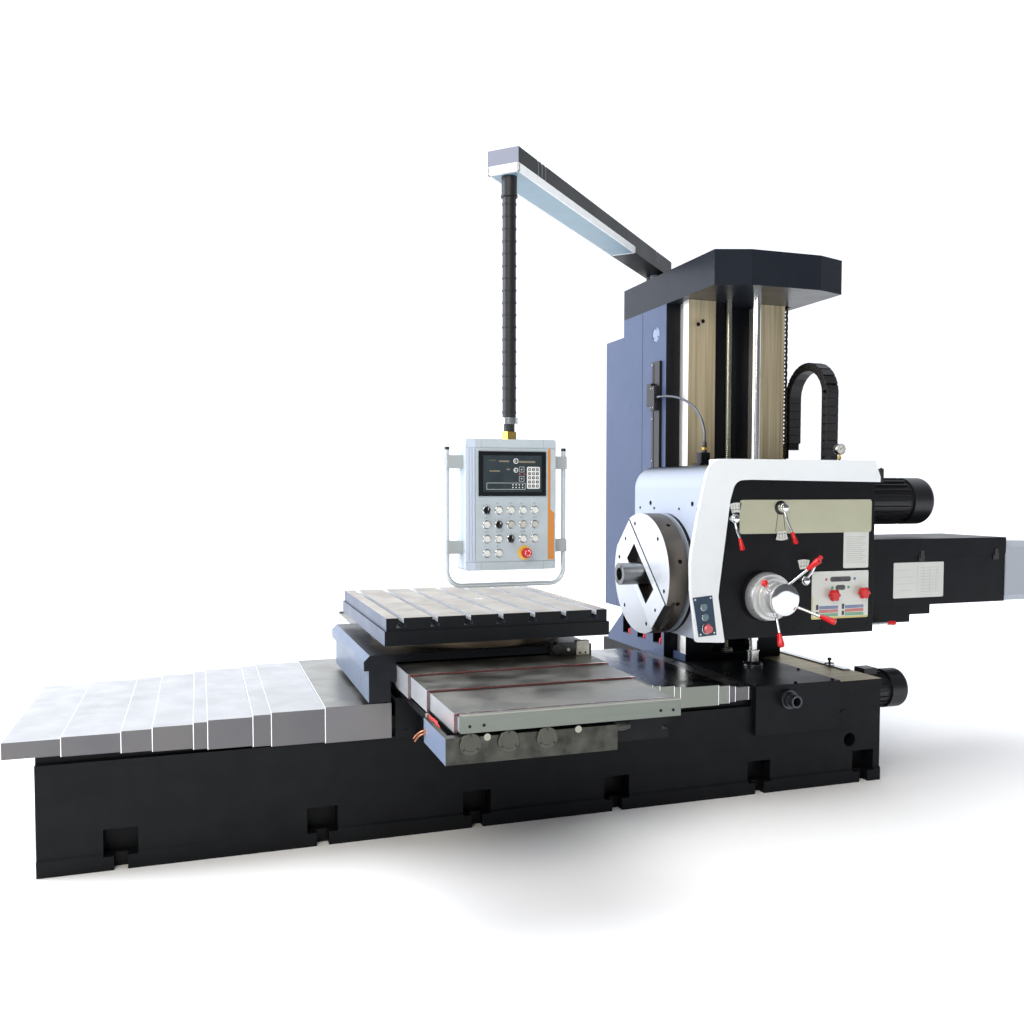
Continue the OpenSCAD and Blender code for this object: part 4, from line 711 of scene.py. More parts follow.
for x, z, tilt, y in scales:
    for a in (-10, 0, 10):
        u, v = scale_r * math.sin(math.radians(a)), scale_r * math.cos(math.radians(a)) - scale_r
        mark = place(x, y - plate_thick, z, "front", tilt) @ shift(u, v)
        print_patch(black, mark, 0, 8, 2, 16)
        print_patch(black, mark, 0, -8, 9, 5, 2)
for row in range(13):
    print_patch(black, place(note_x, head_front - 1.6, note_z), -6 * (row % 3), 62 - row * 10.5,
                118 - 12 * (row % 3), 0.9)
print_pieces(inks, codes, "headstock", 0.45, 0.35)

# Backing plate of the push buttons, enamelled deep blue-green, with its four screws.
# Deep blue-green, softly glossy.
button_plate = finish("petrol_blue_enamel", "#10304a", 0.0, 0.35, (60, 0.3, "#1b3f5c"))
corners = [(883, 783), (979, 789), (953, 977), (850, 969)]
backing_face = head_front - cover_thick - 2
piece("button_backing", [(prism, place(0, backing_face + 4, 0), corners, 0, 4)],
      button_plate, "headstock", 0.6)
piece("button_rims", [
    *((screw, place(x, backing_face, z), 5, 2.5)
      for x, z in ((862, 959), (943, 966), (965, 800), (892, 795))),
    *((turning, place(x, backing_face, z),
       [(r - 2.4, 0), (r, 0), (r, 4), (r - 3, 5.5), (r - 2.4, 0)], 32)
      for x, z, r in ((907, 923, 18), (915, 875, 18), (924, 821, 26)))], steel, "headstock")

# Base ring of the hand wheel, blacked.
wheel_x, wheel_z = 1246, 962
# Black with a broad soft sheen.
ring_black = finish("satin_black_ring", "#101113", 0.0, 0.42, None, (0.03, 10, 0.6))
piece("hand_wheel_base_ring", [
    (turning, place(wheel_x, head_front, wheel_z),
     [(30, 0), (121, 0), (121, 22), (119, 26), (30, 26), (30, 0)], 64)], ring_black, "headstock")

# Pressure gauge on a stem with a brass nut, its needle over eleven marks.
brass = finish("yellow_brass", "#c9a348", 1.0, 0.25, None, (0.02, 10, 0.4))  # bright on its corners
gauge_x, gauge_y, gauge_z = 1872, -260, 1687
gauge = place(gauge_x, gauge_y, head_top, "top")
piece("gauge_stem", [
    (prism, gauge, outline(30, 30, 4), 0, 15),
    (turning, gauge, [(0, 14), (6, 14), (6, 40), (0, 40)], 16)], blacked, "headstock", 0.8)
piece("gauge_nut", [
    (prism, gauge, disc(9.5, 6), 40, 54),
    (turning, gauge, [(0, 53), (5.5, 53), (5.5, 66), (0, 66)], 16)], brass, "headstock", 0.4)
piece("gauge_case", [
    (turning, place(gauge_x, gauge_y + 16, gauge_z),
     [(0, 0), (27, 0), (29, 3), (29, 28), (27, 31), (25, 31), (24, 26), (0, 26)], 40)],
    steel, "headstock")
dial_white = finish("gauge_dial_white", "#e3e2da", 0.0, 0.3, (20, 0.3, "#d2d0c4"))  # plain off-white
piece("gauge_dial", [
    (turning, place(gauge_x, gauge_y - 10.2, gauge_z), [(0, 0), (24, 0), (24, 0.4), (0, 0.4)], 32)],
    dial_white, "headstock")
dial_face = gauge_y - 10.8
needle = place(gauge_x, dial_face, gauge_z, "front", -50)
piece("gauge_needle", [
    (prism, needle, [(-1.2, -6), (1.2, -6), (0.5, 19), (-0.5, 19)], 0, 0.5),
    (turning, needle, [(0, 0), (2.6, 0), (2.6, 1), (0, 1)], 14),
    *((prism, place(gauge_x, dial_face, gauge_z, "front", -135 + 27 * k) @ shift(0, 19.5),
       outline(0.9 if k % 2 else 1.5, 4), 0, 0.2) for k in range(11))], knob_black, "headstock")

# Gland of the reading head's hose on top of the headstock.
gland_x, gland_y = 1141, -134
gland = place(gland_x, gland_y, head_top, "top")
piece("hose_gland_box", [
    (prism, place(gland_x + 4, gland_y - 1, head_top, "top"), outline(110, 86, 6), 0, 14),
    (prism, place(gland_x - 8, gland_y, head_top, "top"), outline(54, 52, 5), 14, 70),
    *((screw, place(gland_x + 4 + u, gland_y - 1 + v, head_top + 14, "top"), 5, 3)
      for v in (-30, 30) for u in (-40, 40))], blacked, "headstock", 1.0)
piece("hose_gland_nut", [
    (prism, gland, disc(13, 6), 70, 84),
    (turning, gland, [(0, 96), (11, 96), (12.5, 100), (12.5, 112), (9, 127), (7.2, 127), (7.2, 110),
                      (0, 110)], 24)], knob_black, "headstock", 0.5)
piece("hose_gland_ring", [(turning, gland, [(0, 84), (12.6, 84), (12.6, 97), (0, 97)], 24)],
      brass, "headstock", 0.4)

# ---- Main motor and tail housing -------------------------------------------
# Totally enclosed motor on the headstock's end, then the sheet housing round the spindle's feed
# carriage with a lid held by two latches.
coat(enamel("black_machine_enamel", "#101216", 0.32), "tail_housing")
coat(enamel("pale_grey_enamel_tail_cap", "#aab1bb", 0.28, 3.0, "#9aa2ae"), "tail_cap")
piece("main_motor_screws", [
    *((screw, place(x, y, 1588, "top"), 6, 5)
      for x, y in ((2018, -215), (2180, -215), (2018, -85), (2180, -85))),
    *((screw, place(1913, *on_circle(144, 45 + 90 * k, -150, 1412), "right"), 9, 8) for k in range(4)),
    *((screw, place(2372, -243, z), 5, 4) for z in (1326, 1490))], blacked, "headstock")
tail_front = -400
latches = [shape for x in (2290, 2790) for shape in (
    (prism, place(x, tail_front, 1112), outline(38, 34, 4), 0, 6),
    (prism, place(x, tail_front - 6, 1134), outline(24, 40, 4), 0, 4))]
piece("tail_lid_latches", latches, knob_black, "headstock", 0.8)
tail_plate_x, tail_plate_z = 2276, 998
piece("tail_plate", [
    (prism, place(tail_plate_x, tail_front, tail_plate_z), outline(326, 187, 6), 0, 1.4)],
    printed, "headstock", 0.4)
lines = []
tail_plate_face = place(tail_plate_x, tail_front - 1.4, tail_plate_z)
for row in range(9):
    print_patch(lines, tail_plate_face, 72, 66 - 16 * row, 126, 0.9)
for column in (-1, 0, 1):
    print_patch(lines, tail_plate_face, 72 + 42 * column, 2, 0.9, 128)
print_patch(lines, tail_plate_face, -10, 0, 0.9, 150)
for row in range(4):
    print_patch(lines, tail_plate_face, -86, 54 - 36 * row, 110 - 20 * (row % 2), 0.9)
print_grey = finish("print_grey", "#8b908f", 0.0, 0.45, (30, 0.4, "#a7abaa"))  # flat screen ink
piece("tail_plate_lines", lines, print_grey, "headstock")

# ---- Push buttons on the headstock -----------------------------------------
# Two moulded caps in steel rims, with a mushroom stop button under them. The caps have yellowed to a
# grey green and the stop button has bleached to a dusty pink.
coat(finish("grey_green_cap", "#5e7d84", 0.0, 0.3, (12, 0.4, "#4a666d"), (0.02, 6, 1.2)), "head_buttons")
coat(finish("sun_faded_red_resin", "#cf6a6e", 0.0, 0.3, (25, 0.6, "#b9474d"), (0.02, 6, 2.0)),
     "head_stop_button")

# ---- Levers ----------------------------------------------------------------
# Each lever is a chromed boss clamped on its shaft, a bent chromed rod screwed into it, and a red
# resin grip moulded on the rod's end.
chrome = finish("bright_chrome", "#d9dbdd", 1.0, 0.08, None, (0.01, 60, 0.8))  # like a mirror
# Deep glossy red.
red_resin = finish("red_phenolic", "#cc1216", 0.0, 0.22, (30, 0.25, "#a50d12"), (0.02, 20, 0.8))


def grip(bm, where, path, thin, thick):
    """Moulded grip: swells away from the rod and closes in a dome."""
    start, end = Vector(path[0]), Vector(path[1])
    shares = (0, 0.02, 0.08, 0.45, 0.85, 0.94, 0.985, 1)
    radii = [thin * 0.6, thin * 0.92, thin, (thin + thick) / 2, thick, thick * 0.93, thick * 0.66,
             thick * 0.12]
    rod(bm, where, [start.lerp(end, s) for s in shares], radii, 20)


def hand_lever(name, x, z, length, turn, base, lean=14):
    """A lever hanging from its boss; turn swings it in the face, lean tips it out to the hand."""
    where = place(x, head_front - base, z, "front", turn)
    out = math.tan(math.radians(lean))
    rod_end, grip_end = [reach * math.cos(math.radians(lean)) for reach in (length - 60, length + 2)]
    bent = [(0, 0, 26), (-3, -22, 26 + 22 * out * 0.6), (-5, -44, 26 + 44 * out),
            (-4, -0.75 * rod_end, 26 + 0.75 * rod_end * out), (0, -rod_end, 26 + rod_end * out)]
    boss = piece(name + "_boss", [
        (turning, where,
         [(0, 0), (23, 0), (23, 30), (21, 33), (19, 34), (17, 42), (12, 45.6), (0, 46)], 36),
        (rod, where, smooth_path(bent, 4), 6.2, 16)], chrome, name)
    ends = [(0, -rod_end, 26 + rod_end * out), (0, -grip_end, 26 + grip_end * out)]
    piece(name + "_grip", [(grip, where, ends, 8, 12)], red_resin, name)
    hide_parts(name)


# Black ring behind the speed lever's boss and the lines that point to its scale.
speed_x, speed_z = 1335, 1387
ring_at = place(speed_x, head_front - plate_thick, speed_z)
piece("speed_lever_ring", [
    (turning, ring_at, [(22, 0), (34, 0), (34, 2), (32, 3), (22, 3), (22, 0)], 40),
    *((prism, ring_at, [(s * 16 - 1.4, -28), (s * 16 + 1.4, -28), (s * 27 + 1.4, -112),
                        (s * 27 - 1.4, -112)], 0, 0.4) for s in (-1, 1))], knob_black, "headstock")
hand_lever("lever_clutch", 1068, 1337, 154, 8, 0)
hand_lever("lever_speed", speed_x, speed_z, 182, 13, plate_thick)
hand_lever("lever_feed", 1465, 1031, 142, 152, 0)
lock_y, lock_z = -450, 785
lock_rod = piece("lever_lock_rod", [(rod, in_machine, [(1844, lock_y, lock_z), (2041, lock_y, lock_z)],
                                     6.5, 20)], chrome, "lever_lock")
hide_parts("lever_lock")
piece("lever_lock_grip", [(grip, in_machine, [(2036, lock_y, lock_z), (2086.5, lock_y, lock_z)], 9, 12)],
      red_resin, "lever_lock")

# ---- Hand wheel ------------------------------------------------------------
# Graduated dial and drum turned from steel and satin chromed, four bent spokes screwed into the
# drum with red grips, and a polished cap that turns the fine feed.
satin_chrome = finish("satin_chrome", "#cfd0d0", 0.7, 0.36)  # blasted before plating, so no glare
relief(satin_chrome, 0.0, None, 0.6)
hub = place(wheel_x, head_front, wheel_z)
dial_r, dial_low, dial_rise, dial_fall = 118, 33, 41, 7  # the dial's cone: 7 mm narrower over 41 mm
drum = piece("hand_wheel_drum", [
    (turning, hub, [(0, -50), (24, -50), (24, 27), (dial_r, 27), (dial_r, dial_low),
                    (dial_r - dial_fall, dial_low + dial_rise), (109, 77), (95, 77), (95, 104), (92, 107),
                    (75, 107), (75, 112), (73.5, 114), (73.5, 118), (75, 120), (75, 164), (70, 169),
                    (0, 169)], 72)], satin_chrome, "pilot_wheel")
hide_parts("pilot_wheel")


def dial_mark(bm, a, length):
    """A raised line up the dial's cone."""
    foot, tip = [Vector((r * math.cos(a), r * math.sin(a), w)) for r, w in
                 ((dial_r + 0.1, dial_low),
                  (dial_r + 0.1 - length * dial_fall / dial_rise, dial_low + length))]
    across = Vector((-math.sin(a), math.cos(a), 0)) * 0.7
    lift = Vector((math.cos(a), math.sin(a), 0.17)) * 0.25
    quad = [foot - across, foot + across, tip + across, tip - across]
    loft(bm, [[hub @ (p + s * lift) for p in quad] for s in (-1, 1)])


piece("hand_wheel_graduation", [
    (dial_mark, math.radians(5 * k), 17 if k % 6 == 0 else 11 if k % 3 == 0 else 7) for k in range(72)],
    knob_black, "pilot_wheel")
slope = math.atan2(dial_fall, dial_rise)
for k in range(12):
    figures = bpy.data.curves.new("dial_number", "FONT")
    figures.body, figures.size, figures.extrude = str(10 * k), 11 * MM, 0.1 * MM
    figures.align_x, figures.align_y = "CENTER", "CENTER"
    figures.materials.append(knob_black)
    number = bpy.data.objects.new("dial_number_" + str(k), figures)
    spot = hub @ Matrix.Scale(1 / MM, 4) @ swung(30 * k)
    number.matrix_world = spot @ Matrix.Translation(Vector((113.2, 0, 62)) * MM) @ \
        Matrix.Rotation(math.pi / 2 - slope, 4, "Y") @ Matrix.Rotation(math.pi / 2, 4, "Z")
    bpy.context.scene.collection.objects.link(number)
    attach(number, "pilot_wheel")
spokes, tips = [], []
for turn in (63, 153, 243, 333):  # the spokes lean 45 degrees out to the operator
    where = hub @ swung(turn)
    spokes += [
        (rod, where, [(58, 0, 138), (70, 0, 148), (84, 0, 161), (120, 0, 196), (166, 0, 242)],
         [9, 8.4, 7.4, 7, 7], 16),
        (turning, where @ shift(74, 0, 152) @ swung(45, "Y"),
         [(7, -3), (12, -3), (12, 5), (9, 7), (7, 7), (7, -3)], 20)]
    tips.append((grip, where, [(163, 0, 239), (217, 0, 293)], 10, 15.5))
piece("hand_wheel_spokes", spokes, chrome, "pilot_wheel")
piece("hand_wheel_grips", tips, red_resin, "pilot_wheel")
cap = piece("fine_feed_cap", [
    (turning, hub, [(0, 169.5), (30, 169.5), (30, 173), (72, 173), (75, 175), (74.6, 179), (66, 182),
                    (36, 182.9), (0, 183)], 72)], chrome, "fine_feed_knob")
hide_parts("fine_feed_knob")

# ---- Speed selector knobs --------------------------------------------------
# Lobed knobs moulded in red phenolic, each pinned to a short shaft that comes out through the
# chart plate. They are turned to set the gears.


def lobed_knob(bm, where):
    """Six-lobed knob that draws in at its foot and its crown."""
    radius, lobe, sides = 27.5, 3.3, 72
    rings = []
    for share, w in ((0.5, 18), (0.94, 20), (1.0, 24), (1.0, 38), (0.93, 43), (0.78, 45.6)):
        rings.append([])
        for i in range(sides):
            a = 2 * math.pi * i / sides
            reach = share * (radius + lobe * math.cos(6 * a))
            rings[-1].append(where @ Vector((reach * math.cos(a), reach * math.sin(a), w)))
    loft(bm, rings)


for name, x, z in (("speed_knob_left", 1633, 954), ("speed_knob_right", 1809, 960)):
    where = place(x, head_front, z)
    knob = piece(name + "_moulding", [
        (lobed_knob, where),
        (turning, where, [(0, 4.5), (14, 4.5), (14, 19), (0, 19)], 24)], red_resin, name)
    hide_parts(name)

# ---- Spindle, faceplate and facing slide -----------------------------------
# Nitrided spindle, and a facing head of dark machined iron whose face has been turned bright; the
# slide lies in a slot across it.
spindle_y, spindle_z = -170, 1056
nose_x, plate_x = 646, 763
nitrided = finish("nitrided_spindle_steel", "#7c7e80", 1.0, 0.28)  # smoke grey, evenly bright
relief(nitrided, 0.0, None, 0.8)
coat(nitrided, "spindle")
piece("spindle_nose_slots", [  # drive slots across the nose, drawn as black patches
    (prism, place(nose_x, spindle_y, spindle_z, "left", turn) @ shift(41), outline(22, 20), -2, 0.4)
    for turn in (60, 240)], knob_black, "spindle")
head_iron = finish("machined_head_iron", "#5d564f", 0.85, 0.33, None, (0.03, 9, 1.5))  # brown-grey
overlay(head_iron, grain(head_iron, 70), roughness=0.42)
bright_face = zone(head_iron, ("X", plate_x - 1, plate_x + 1.5), ("X", -1))
overlay(head_iron, bright_face, "#cdd2d8", 0.3, 0.30)
overlay(head_iron, [("X", 861, 1200)], "#8d8f92", 1.0)
coat(head_iron, "faceplate")
# Grey, finely mottled.
slide_steel = finish("scraped_slide_steel", "#8f9194", 1.0, 0.30, None, (0.03, 12, 0.8))
top_face = zone(slide_steel, ("X", plate_x - 6, plate_x - 2.5), ("X", -1))
overlay(slide_steel, top_face, "#dfe3e8", 0.3, 0.28)
coat(slide_steel, "facing_slide")
slot = Matrix.Translation(Vector((plate_x, spindle_y, spindle_z)) * MM) @ swung(-45, "X") @ \
    Matrix.Scale(MM, 4) @ swung(-90, "Y")
piece("faceplate_slot_joints", [  # dark joints where the slide meets its slot
    (prism, slot, box(-281, 281, low, high), -0.2, 0.6) for low, high in ((-100, -95.3), (95.3, 100))],
    knob_black, "faceplate")

# ---- Saddle ----------------------------------------------------------------
# Cast-iron plate on the bed's guideways, in one piece with the long cross beam that overhangs the
# bed at the front and the rear. Keepers are bolted under the guideways.
coat(enamel("black_machine_enamel_saddle", "#121418", 0.34), "saddle")
piece("keeper_screws", [
    (screw, place(x, y, 455, side), 7, 6) for x in range(-520, 300, 115)
    for y, side in ((-548, "front"), (548, "back"))], blacked, "saddle")

# Two copper drain pipes, bent out past the cross gearbox's side and cut off square.
# Pink bright metal, browned in places.
copper = finish("drawn_copper_pipe", "#c98a6a", 1.0, 0.30, (30, 0.7, "#8f5a42"))
pipes = []
for k in range(2):
    drop = 11 * k
    route = [(-588, -1232, 636 - drop), (-600, -1230, 634 - drop), (-612, -1218, 626 - drop),
             (-622 + 3 * k, -1196, 610 - drop), (-628 + 5 * k, -1184, 597 - drop)]
    nut = place(-596, -1232, 636 - drop, "left")
    pipes += [(rod, in_machine, smooth_path(route, 5), 3, 10),
              (turning, nut, [(0, -2), (4.5, -2), (4.5, 6), (0, 6)], 6)]
piece("lubricant_pipes", pipes, copper, "saddle")

# ---- Cross gearbox ---------------------------------------------------------
# Gearbox of the cross feed, bolted to the front end of the beam: milled cast iron left bare, cloudy
# with oil, with flanged bearing covers held by three screws each.
box_left, box_right, box_front, box_back = -596, 10, -1505, -1205
box_low, box_mid, box_high = 586, 600, 673.6
shaft_z, caps_x = 651, (-513, -383, -249)
milled_iron = finish("oiled_milled_iron", "#53544e", 0.75, 0.42)  # grey-brown, clouded by the oil
overlay(milled_iron, grain(milled_iron, 48, detail=8.0), "#32332e")
overlay(milled_iron, grain(milled_iron, 30, high=0.8), roughness=0.55)
# Faces turned to the left are painted a pale blue grey: a painted reflection of the light from the left.
overlay(milled_iron, [("X", -1)], "#8392ac", 0.3, 0.35)
plug = zone(milled_iron, ("X", 9.7, 80), ("Y", -1500, -1455))
overlay(milled_iron, plug, "#1d1e20", 0.0, 0.4)
relief(milled_iron, 0.10, grain(milled_iron, 10), 1.5)
gearbox_block = piece("cross_gearbox_block", [
    (prism, place(0, box_back, 0), box(box_left, box_right, box_low, box_mid + 0.8), 0, 300),
    (prism, place(0, box_front + 40, 0), box(box_left, box_right, box_mid, box_high), 0.4, 40),
    (prism, place(0, box_back, 0), box(box_left, box_left + 18, box_mid, box_high - 1), 0, 261),
    (turning, place(9.5, -1485, 665, "right"),
     [(0, 0), (19, 0), (19, 33), (15, 34), (15, 52), (0, 52)], 36)], milled_iron, "saddle", 1.0)
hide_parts("saddle_gearbox")
# Oily, brighter than the block.
pressed = finish("turned_cover_iron", "#50514b", 0.9, 0.34, None, (0.03, 8, 0.6))
piece("cross_gearbox_caps", [
    (turning, place(x, box_front, shaft_z),
     [(0, -1), (37, -1), (37, 7), (35.4, 8.4), (24, 8.4), (23, 7.4), (0, 7.4)], 48) for x in caps_x],
    pressed, "saddle")
# Warm pale grey without glare.
plate_steel = finish("satin_nickel_plate", "#a3a398", 0.9, 0.36, None, (0.02, 8, 0.6))
piece("cross_gearbox_plugs", [
    (turning, place(x, box_front, 670),
     [(0, 0.2), (12.4, 0.2), (12.4, 3), (11.6, 4), (4, 4), (3.4, 3.2), (0, 3.2)], 32)
    for x in (-456, -136)], plate_steel, "saddle")
piece("cross_gearbox_screws", [
    *((screw, place(x, box_front - 8.2, shaft_z, "front", a) @ shift(30), 3.6, 2.0)
      for x in caps_x for a in (90, 215, 325)),
    *((turning, place(18 + 9 * k, -1480, 665, "right"),
       [(15, 0), (20, 0.6), (20, 5), (15, 5.6), (15, 0)], 32) for k in range(4))], knob_black, "saddle")

# Red switch wires that come up through the gearbox's ledge and go down again, 3 mm across.
# Bright red, softly shiny.
wire_red = finish("red_pvc_insulation", "#e02a22", 0.0, 0.35, (10, 0.5, "#b51a16"), (0.02, 4, 0.2))
for k in range(4):
    bow, odd = (-1) ** k * 3, k % 2
    line = smooth_path([
        (-580 - 3 * odd, -1222 - 14 * k, 674), (-580 - 3 * odd, -1223 - 14 * k, 681),
        (-584 + bow, -1236 - 15 * k, 688 + 2 * odd), (-585 - bow, -1262 - 16 * k, 684 + 3 * odd),
        (-583 + bow, -1292 - 17 * k, 689 - 2 * odd), (-582, -1312 - 18 * k, 682),
        (-581, -1318 - 18 * k, 674)], 5)
    wire = piece("switch_wire_" + str(k), [(rod, in_machine, line, 1.5, 8)], wire_red, "saddle")
piece("switch_wire_plug", [(prism, place(-585, -1214, 676, "top"), outline(12, 20, 2), 0, 12)],
      plate_steel, "saddle", 0.8)

# ---- Bed covers ------------------------------------------------------------
# Telescopic covers folded from 2 mm stainless sheet. Each sheet slides over the next smaller one and
# has a wiper in its edge; feet and cloths have left the polish cloudy.


def sheet(name, side, top, clear, cloudy):
    """Stainless sheet, rougher on its sides and polished on top, cloudy where it has been trodden; the
    sides are painted darker than the top as painted shade.
    """
    made = finish(name, side, 0.9, 0.42)
    upper = zone(made, ("Z", 1))
    overlay(made, upper, top, 1.0, clear)
    overlay(made, [upper, grain(made, 130, detail=2.0)], roughness=cloudy)
    overlay(made, grain(made, 320, high=0.25), "#8a877c")
    # Faces turned to the left are painted near white: a painted reflection of the light from the left.
    overlay(made, [("X", -1)], "#d8dce0", 0.6, 0.25)
    relief(made, 0.0, None, 0.8)
    return made


coat(sheet("polished_stainless_bed_cover", "#69686c", "#b4b5b6", 0.20, 0.40),
     "left_cover_1", "left_cover_2", "left_cover_3", "left_cover_4", "cover_ends")
coat(sheet("polished_stainless_right_cover", "#8b9089", "#a6a8a6", 0.12, 0.30),
     "right_cover_1", "right_cover_2")
# A thin white glint along each fold: the fold is polished, and painted whiter than its sheet as a painted
# highlight.
bright_edge = finish("folded_edge_painted_glint", "#eef0f2", 1.0, 0.12, None, (0.01, 12, 0.6))


def folded_edge(bm, where, half, low, top, proud, end):
    """Bright bent edge round a sheet's end: up one flank, over the top and down the other."""
    outer, inner = half + 0.3, half - 2
    corners = [((outer, low), (inner, low)), ((outer, top + proud), (inner, top - 3.2)),
               ((-outer, top + proud), (-inner, top - 3.2)), ((-outer, low), (-inner, low))]
    loft(bm, [[where @ Vector((*out, -2.6)), where @ Vector((*out, end)),
               where @ Vector((*into, end)), where @ Vector((*into, -2.6))] for out, into in corners])


# Each row: the side, its outer end, the run to the saddle, how far the bright edge stands above the
# fold, then where each edge lies along that run and which body carries it.
runs = (("left", -2050, 1194, 0.5,
         ((0, "base"), (0.171, "left_cover_1"), (0.348, "left_cover_2"), (0.443, "left_cover_2"),
          (0.57, "left_cover_3"), (0.615, "left_cover_3"), (0.76, "left_cover_4"), (0.82, "left_cover_4"),
          (1, "saddle"))),
        ("right", 1162, -522, -0.3,
         ((0, "base"), (0.144, "base"), (0.209, "right_cover_2"), (0.324, "right_cover_2"),
          (0.716, "right_cover_1"), (0.78, "right_cover_1"), (0.927, "right_cover_1"), (1, "saddle"))))
for side, outer_end, run, proud, edges in runs:
    for level, (share, body) in enumerate(edges):
        half, low, top = 532.3 + 2.4 * level, 466 - 4.1 * level, 530 + 6.4 * level
        piece(side + "_cover_edge_" + str(level), [
            (folded_edge, place(outer_end + run * share, 0, 0, side), half, low, top, proud,
             0.6 if level else 0)], bright_edge, body, 0.3)

# ---- Cross covers ----------------------------------------------------------
# Covers of the same kind over the cross beam, each with a red polyurethane wiper along its edge.
# The last sheets are fixed to the saddle, with a plate across the end of the beam.
saddle_x, beam_reach = -153, 1350


def beam_faces(reach):
    """The planes across the beam at this distance in front of the spindle's axis and behind it."""
    return [place(saddle_x, spindle_y + s * reach, 0, side) for s, side in ((-1, "front"), (1, "back"))]


cross_finish = sheet("polished_stainless_cross_cover", "#77767a", "#93928c", 0.30, 0.50)
for low, high in ((-1521, -1499.6), (1159.6, 1181)):
    end_face = zone(cross_finish, ("Y", low, high))
    overlay(cross_finish, end_face, "#7c827c", 0.6, 0.42)
coat(cross_finish, "slide_covers", "cross_cover", "saddle_covers")
# Dull brick red.
wiper = finish("dark_red_polyurethane", "#8e2f28", 0.0, 0.45, (60, 0.7, "#5f1f1c"), (0.02, 8, 0.3))
sheet_ends = ((690, "cross_slide"), (960, "cross_cover"), (1295, "saddle"), (1330, "saddle"))
for level, (reach, body) in enumerate(sheet_ends):
    half, top, low = 422 - 10 * level, 757 - 7 * level, 663 + 8 * level
    rubber, folds = [], []
    for face in beam_faces(reach):
        rubber.append((prism, face, box(1 - half, half - 1, top - 3.4, top - 0.2), -1, 1.4))
        folds.append((prism, face, box(-half, half, top - 0.3, top + 0.7), -4.5, 0.6))
        for t in (-1, 1):
            rubber.append((prism, face, box(t * (half + 0.6), t * (half - 1), low, top - 1), -3.4, 1.2))
            folds.append((prism, face, box(t * (half + 0.8), t * (half - 1), low, top), -6.5, -3.6))
    piece("cross_wiper_" + str(level), rubber, wiper, body)
    piece("cross_cover_fold_" + str(level), folds, bright_edge, body)
end_faces = beam_faces(beam_reach)
piece("end_plate_hem", [(prism, face, box(-396, 396, 745.5, 750), -2, 1.6) for face in end_faces],
      plate_steel, "saddle", 0.8)
end_steel = finish("brushed_end_plate", "#7c827c", 0.6, 0.40)  # brushed along it, greenish with oil
overlay(end_steel, grain(end_steel, 40, stretch=(12, 1, 1), high=0.5), "#6c726c")
piece("end_plate_skin", [(prism, face, box(-395.6, 395.6, 690.4, 745), -0.5, 1) for face in end_faces],
      end_steel, "saddle", 0.4)
piece("end_plate_screws", [
    (screw, face @ shift(u, v, 0.9), 5.2, 1.4) for face in end_faces
    for u, v in ((-366, 712), (-318, 713), (366, 712), (318, 713))], blacked, "saddle")

# ---- Cross slide -----------------------------------------------------------
# Cast-iron slide that carries the turntable's ring; the wing on its left is planed to a chamfer and
# enamelled slate.
slide_enamel = enamel("slate_machine_enamel_slide", "#181b21", 0.26)
# Faces turned to the left are painted a pale slate blue: a painted reflection of the light from the left.
overlay(slide_enamel, [("X", -1)], "#5c6a80")
ring = zone(slide_enamel, ("Z", 801, 851))
overlay(slide_enamel, ring, "#6e6354", 0.9, 0.36)
coat(slide_enamel, "cross_slide")
clamp_y = -640
piece("slide_clamp_body", [
    (prism, place(150, clamp_y, 786), outline(118, 56, 5), -1, 22),
    (turning, place(118, clamp_y, 790), [(0, 20), (26, 20), (26, 34), (23, 38), (0, 38)], 32)],
    knob_black, "cross_slide", 1.0)
# Light grey, faintly grainy.
oil_block = finish("die_cast_grey_block", "#b5b5aa", 0.35, 0.40, (20, 0.5, "#95968d"), (0.05, 6, 1.0))
piece("slide_oil_block", [
    (turning, place(172, clamp_y - 22, 784), [(0, 0), (9, 0), (9, 6), (7, 8), (4, 11), (0, 11)], 6),
    (prism, place(240, clamp_y, 789), outline(60, 62, 3), -1, 26)], oil_block, "cross_slide", 1.2)
piece("slide_oil_block_screws", [(screw, place(x, clamp_y - 26, 768), 4.5, 1) for x in (226, 252)],
      blacked, "cross_slide")

# ---- Table -----------------------------------------------------------------
# T-slotted cast-iron turntable. Its top is ground, with faint marks from work that has stood on it;
# the slots are milled, and their upper walls that face the left are painted near white as a highlight;
# the sides are enamelled.
table_x, table_top = -83, 960
table_iron = enamel("black_machine_enamel_table", "#14171b", 0.28)
# Faces turned to the left are painted a lighter blue grey: a painted reflection of the light from the
# left.
overlay(table_iron, [("X", -1)], "#49556a")
top_mask = zone(table_iron, ("Z", table_top - 1, table_top + 1), ("Z", 1))
# Old scratches run between cells some 70 mm across.
marks_old = node(table_iron, "TexVoronoi", {"Vector": node(table_iron, "TexCoord").outputs["Object"],
                                            "Scale": 14.0}, feature="DISTANCE_TO_EDGE")
scratch = node(table_iron, "Math", {0: marks_old.outputs["Distance"], 1: 0.012},
               operation="LESS_THAN").outputs[0]
patches = grain(table_iron, 150, detail=4.0)
pale = node(table_iron, "Mix", {0: patches, 6: linear("#8f887e"), 7: linear("#b3ada1")},
            data_type="RGBA").outputs[2]
in_patches = node(table_iron, "Math", {0: scratch, 1: patches, 2: 0.0},
                  operation="MULTIPLY_ADD").outputs[0]
worn = node(table_iron, "Mix", {0: in_patches, 6: pale, 7: linear("#9d968b")},
            data_type="RGBA").outputs[2]
overlay(table_iron, top_mask, worn, 0.75, 0.40)
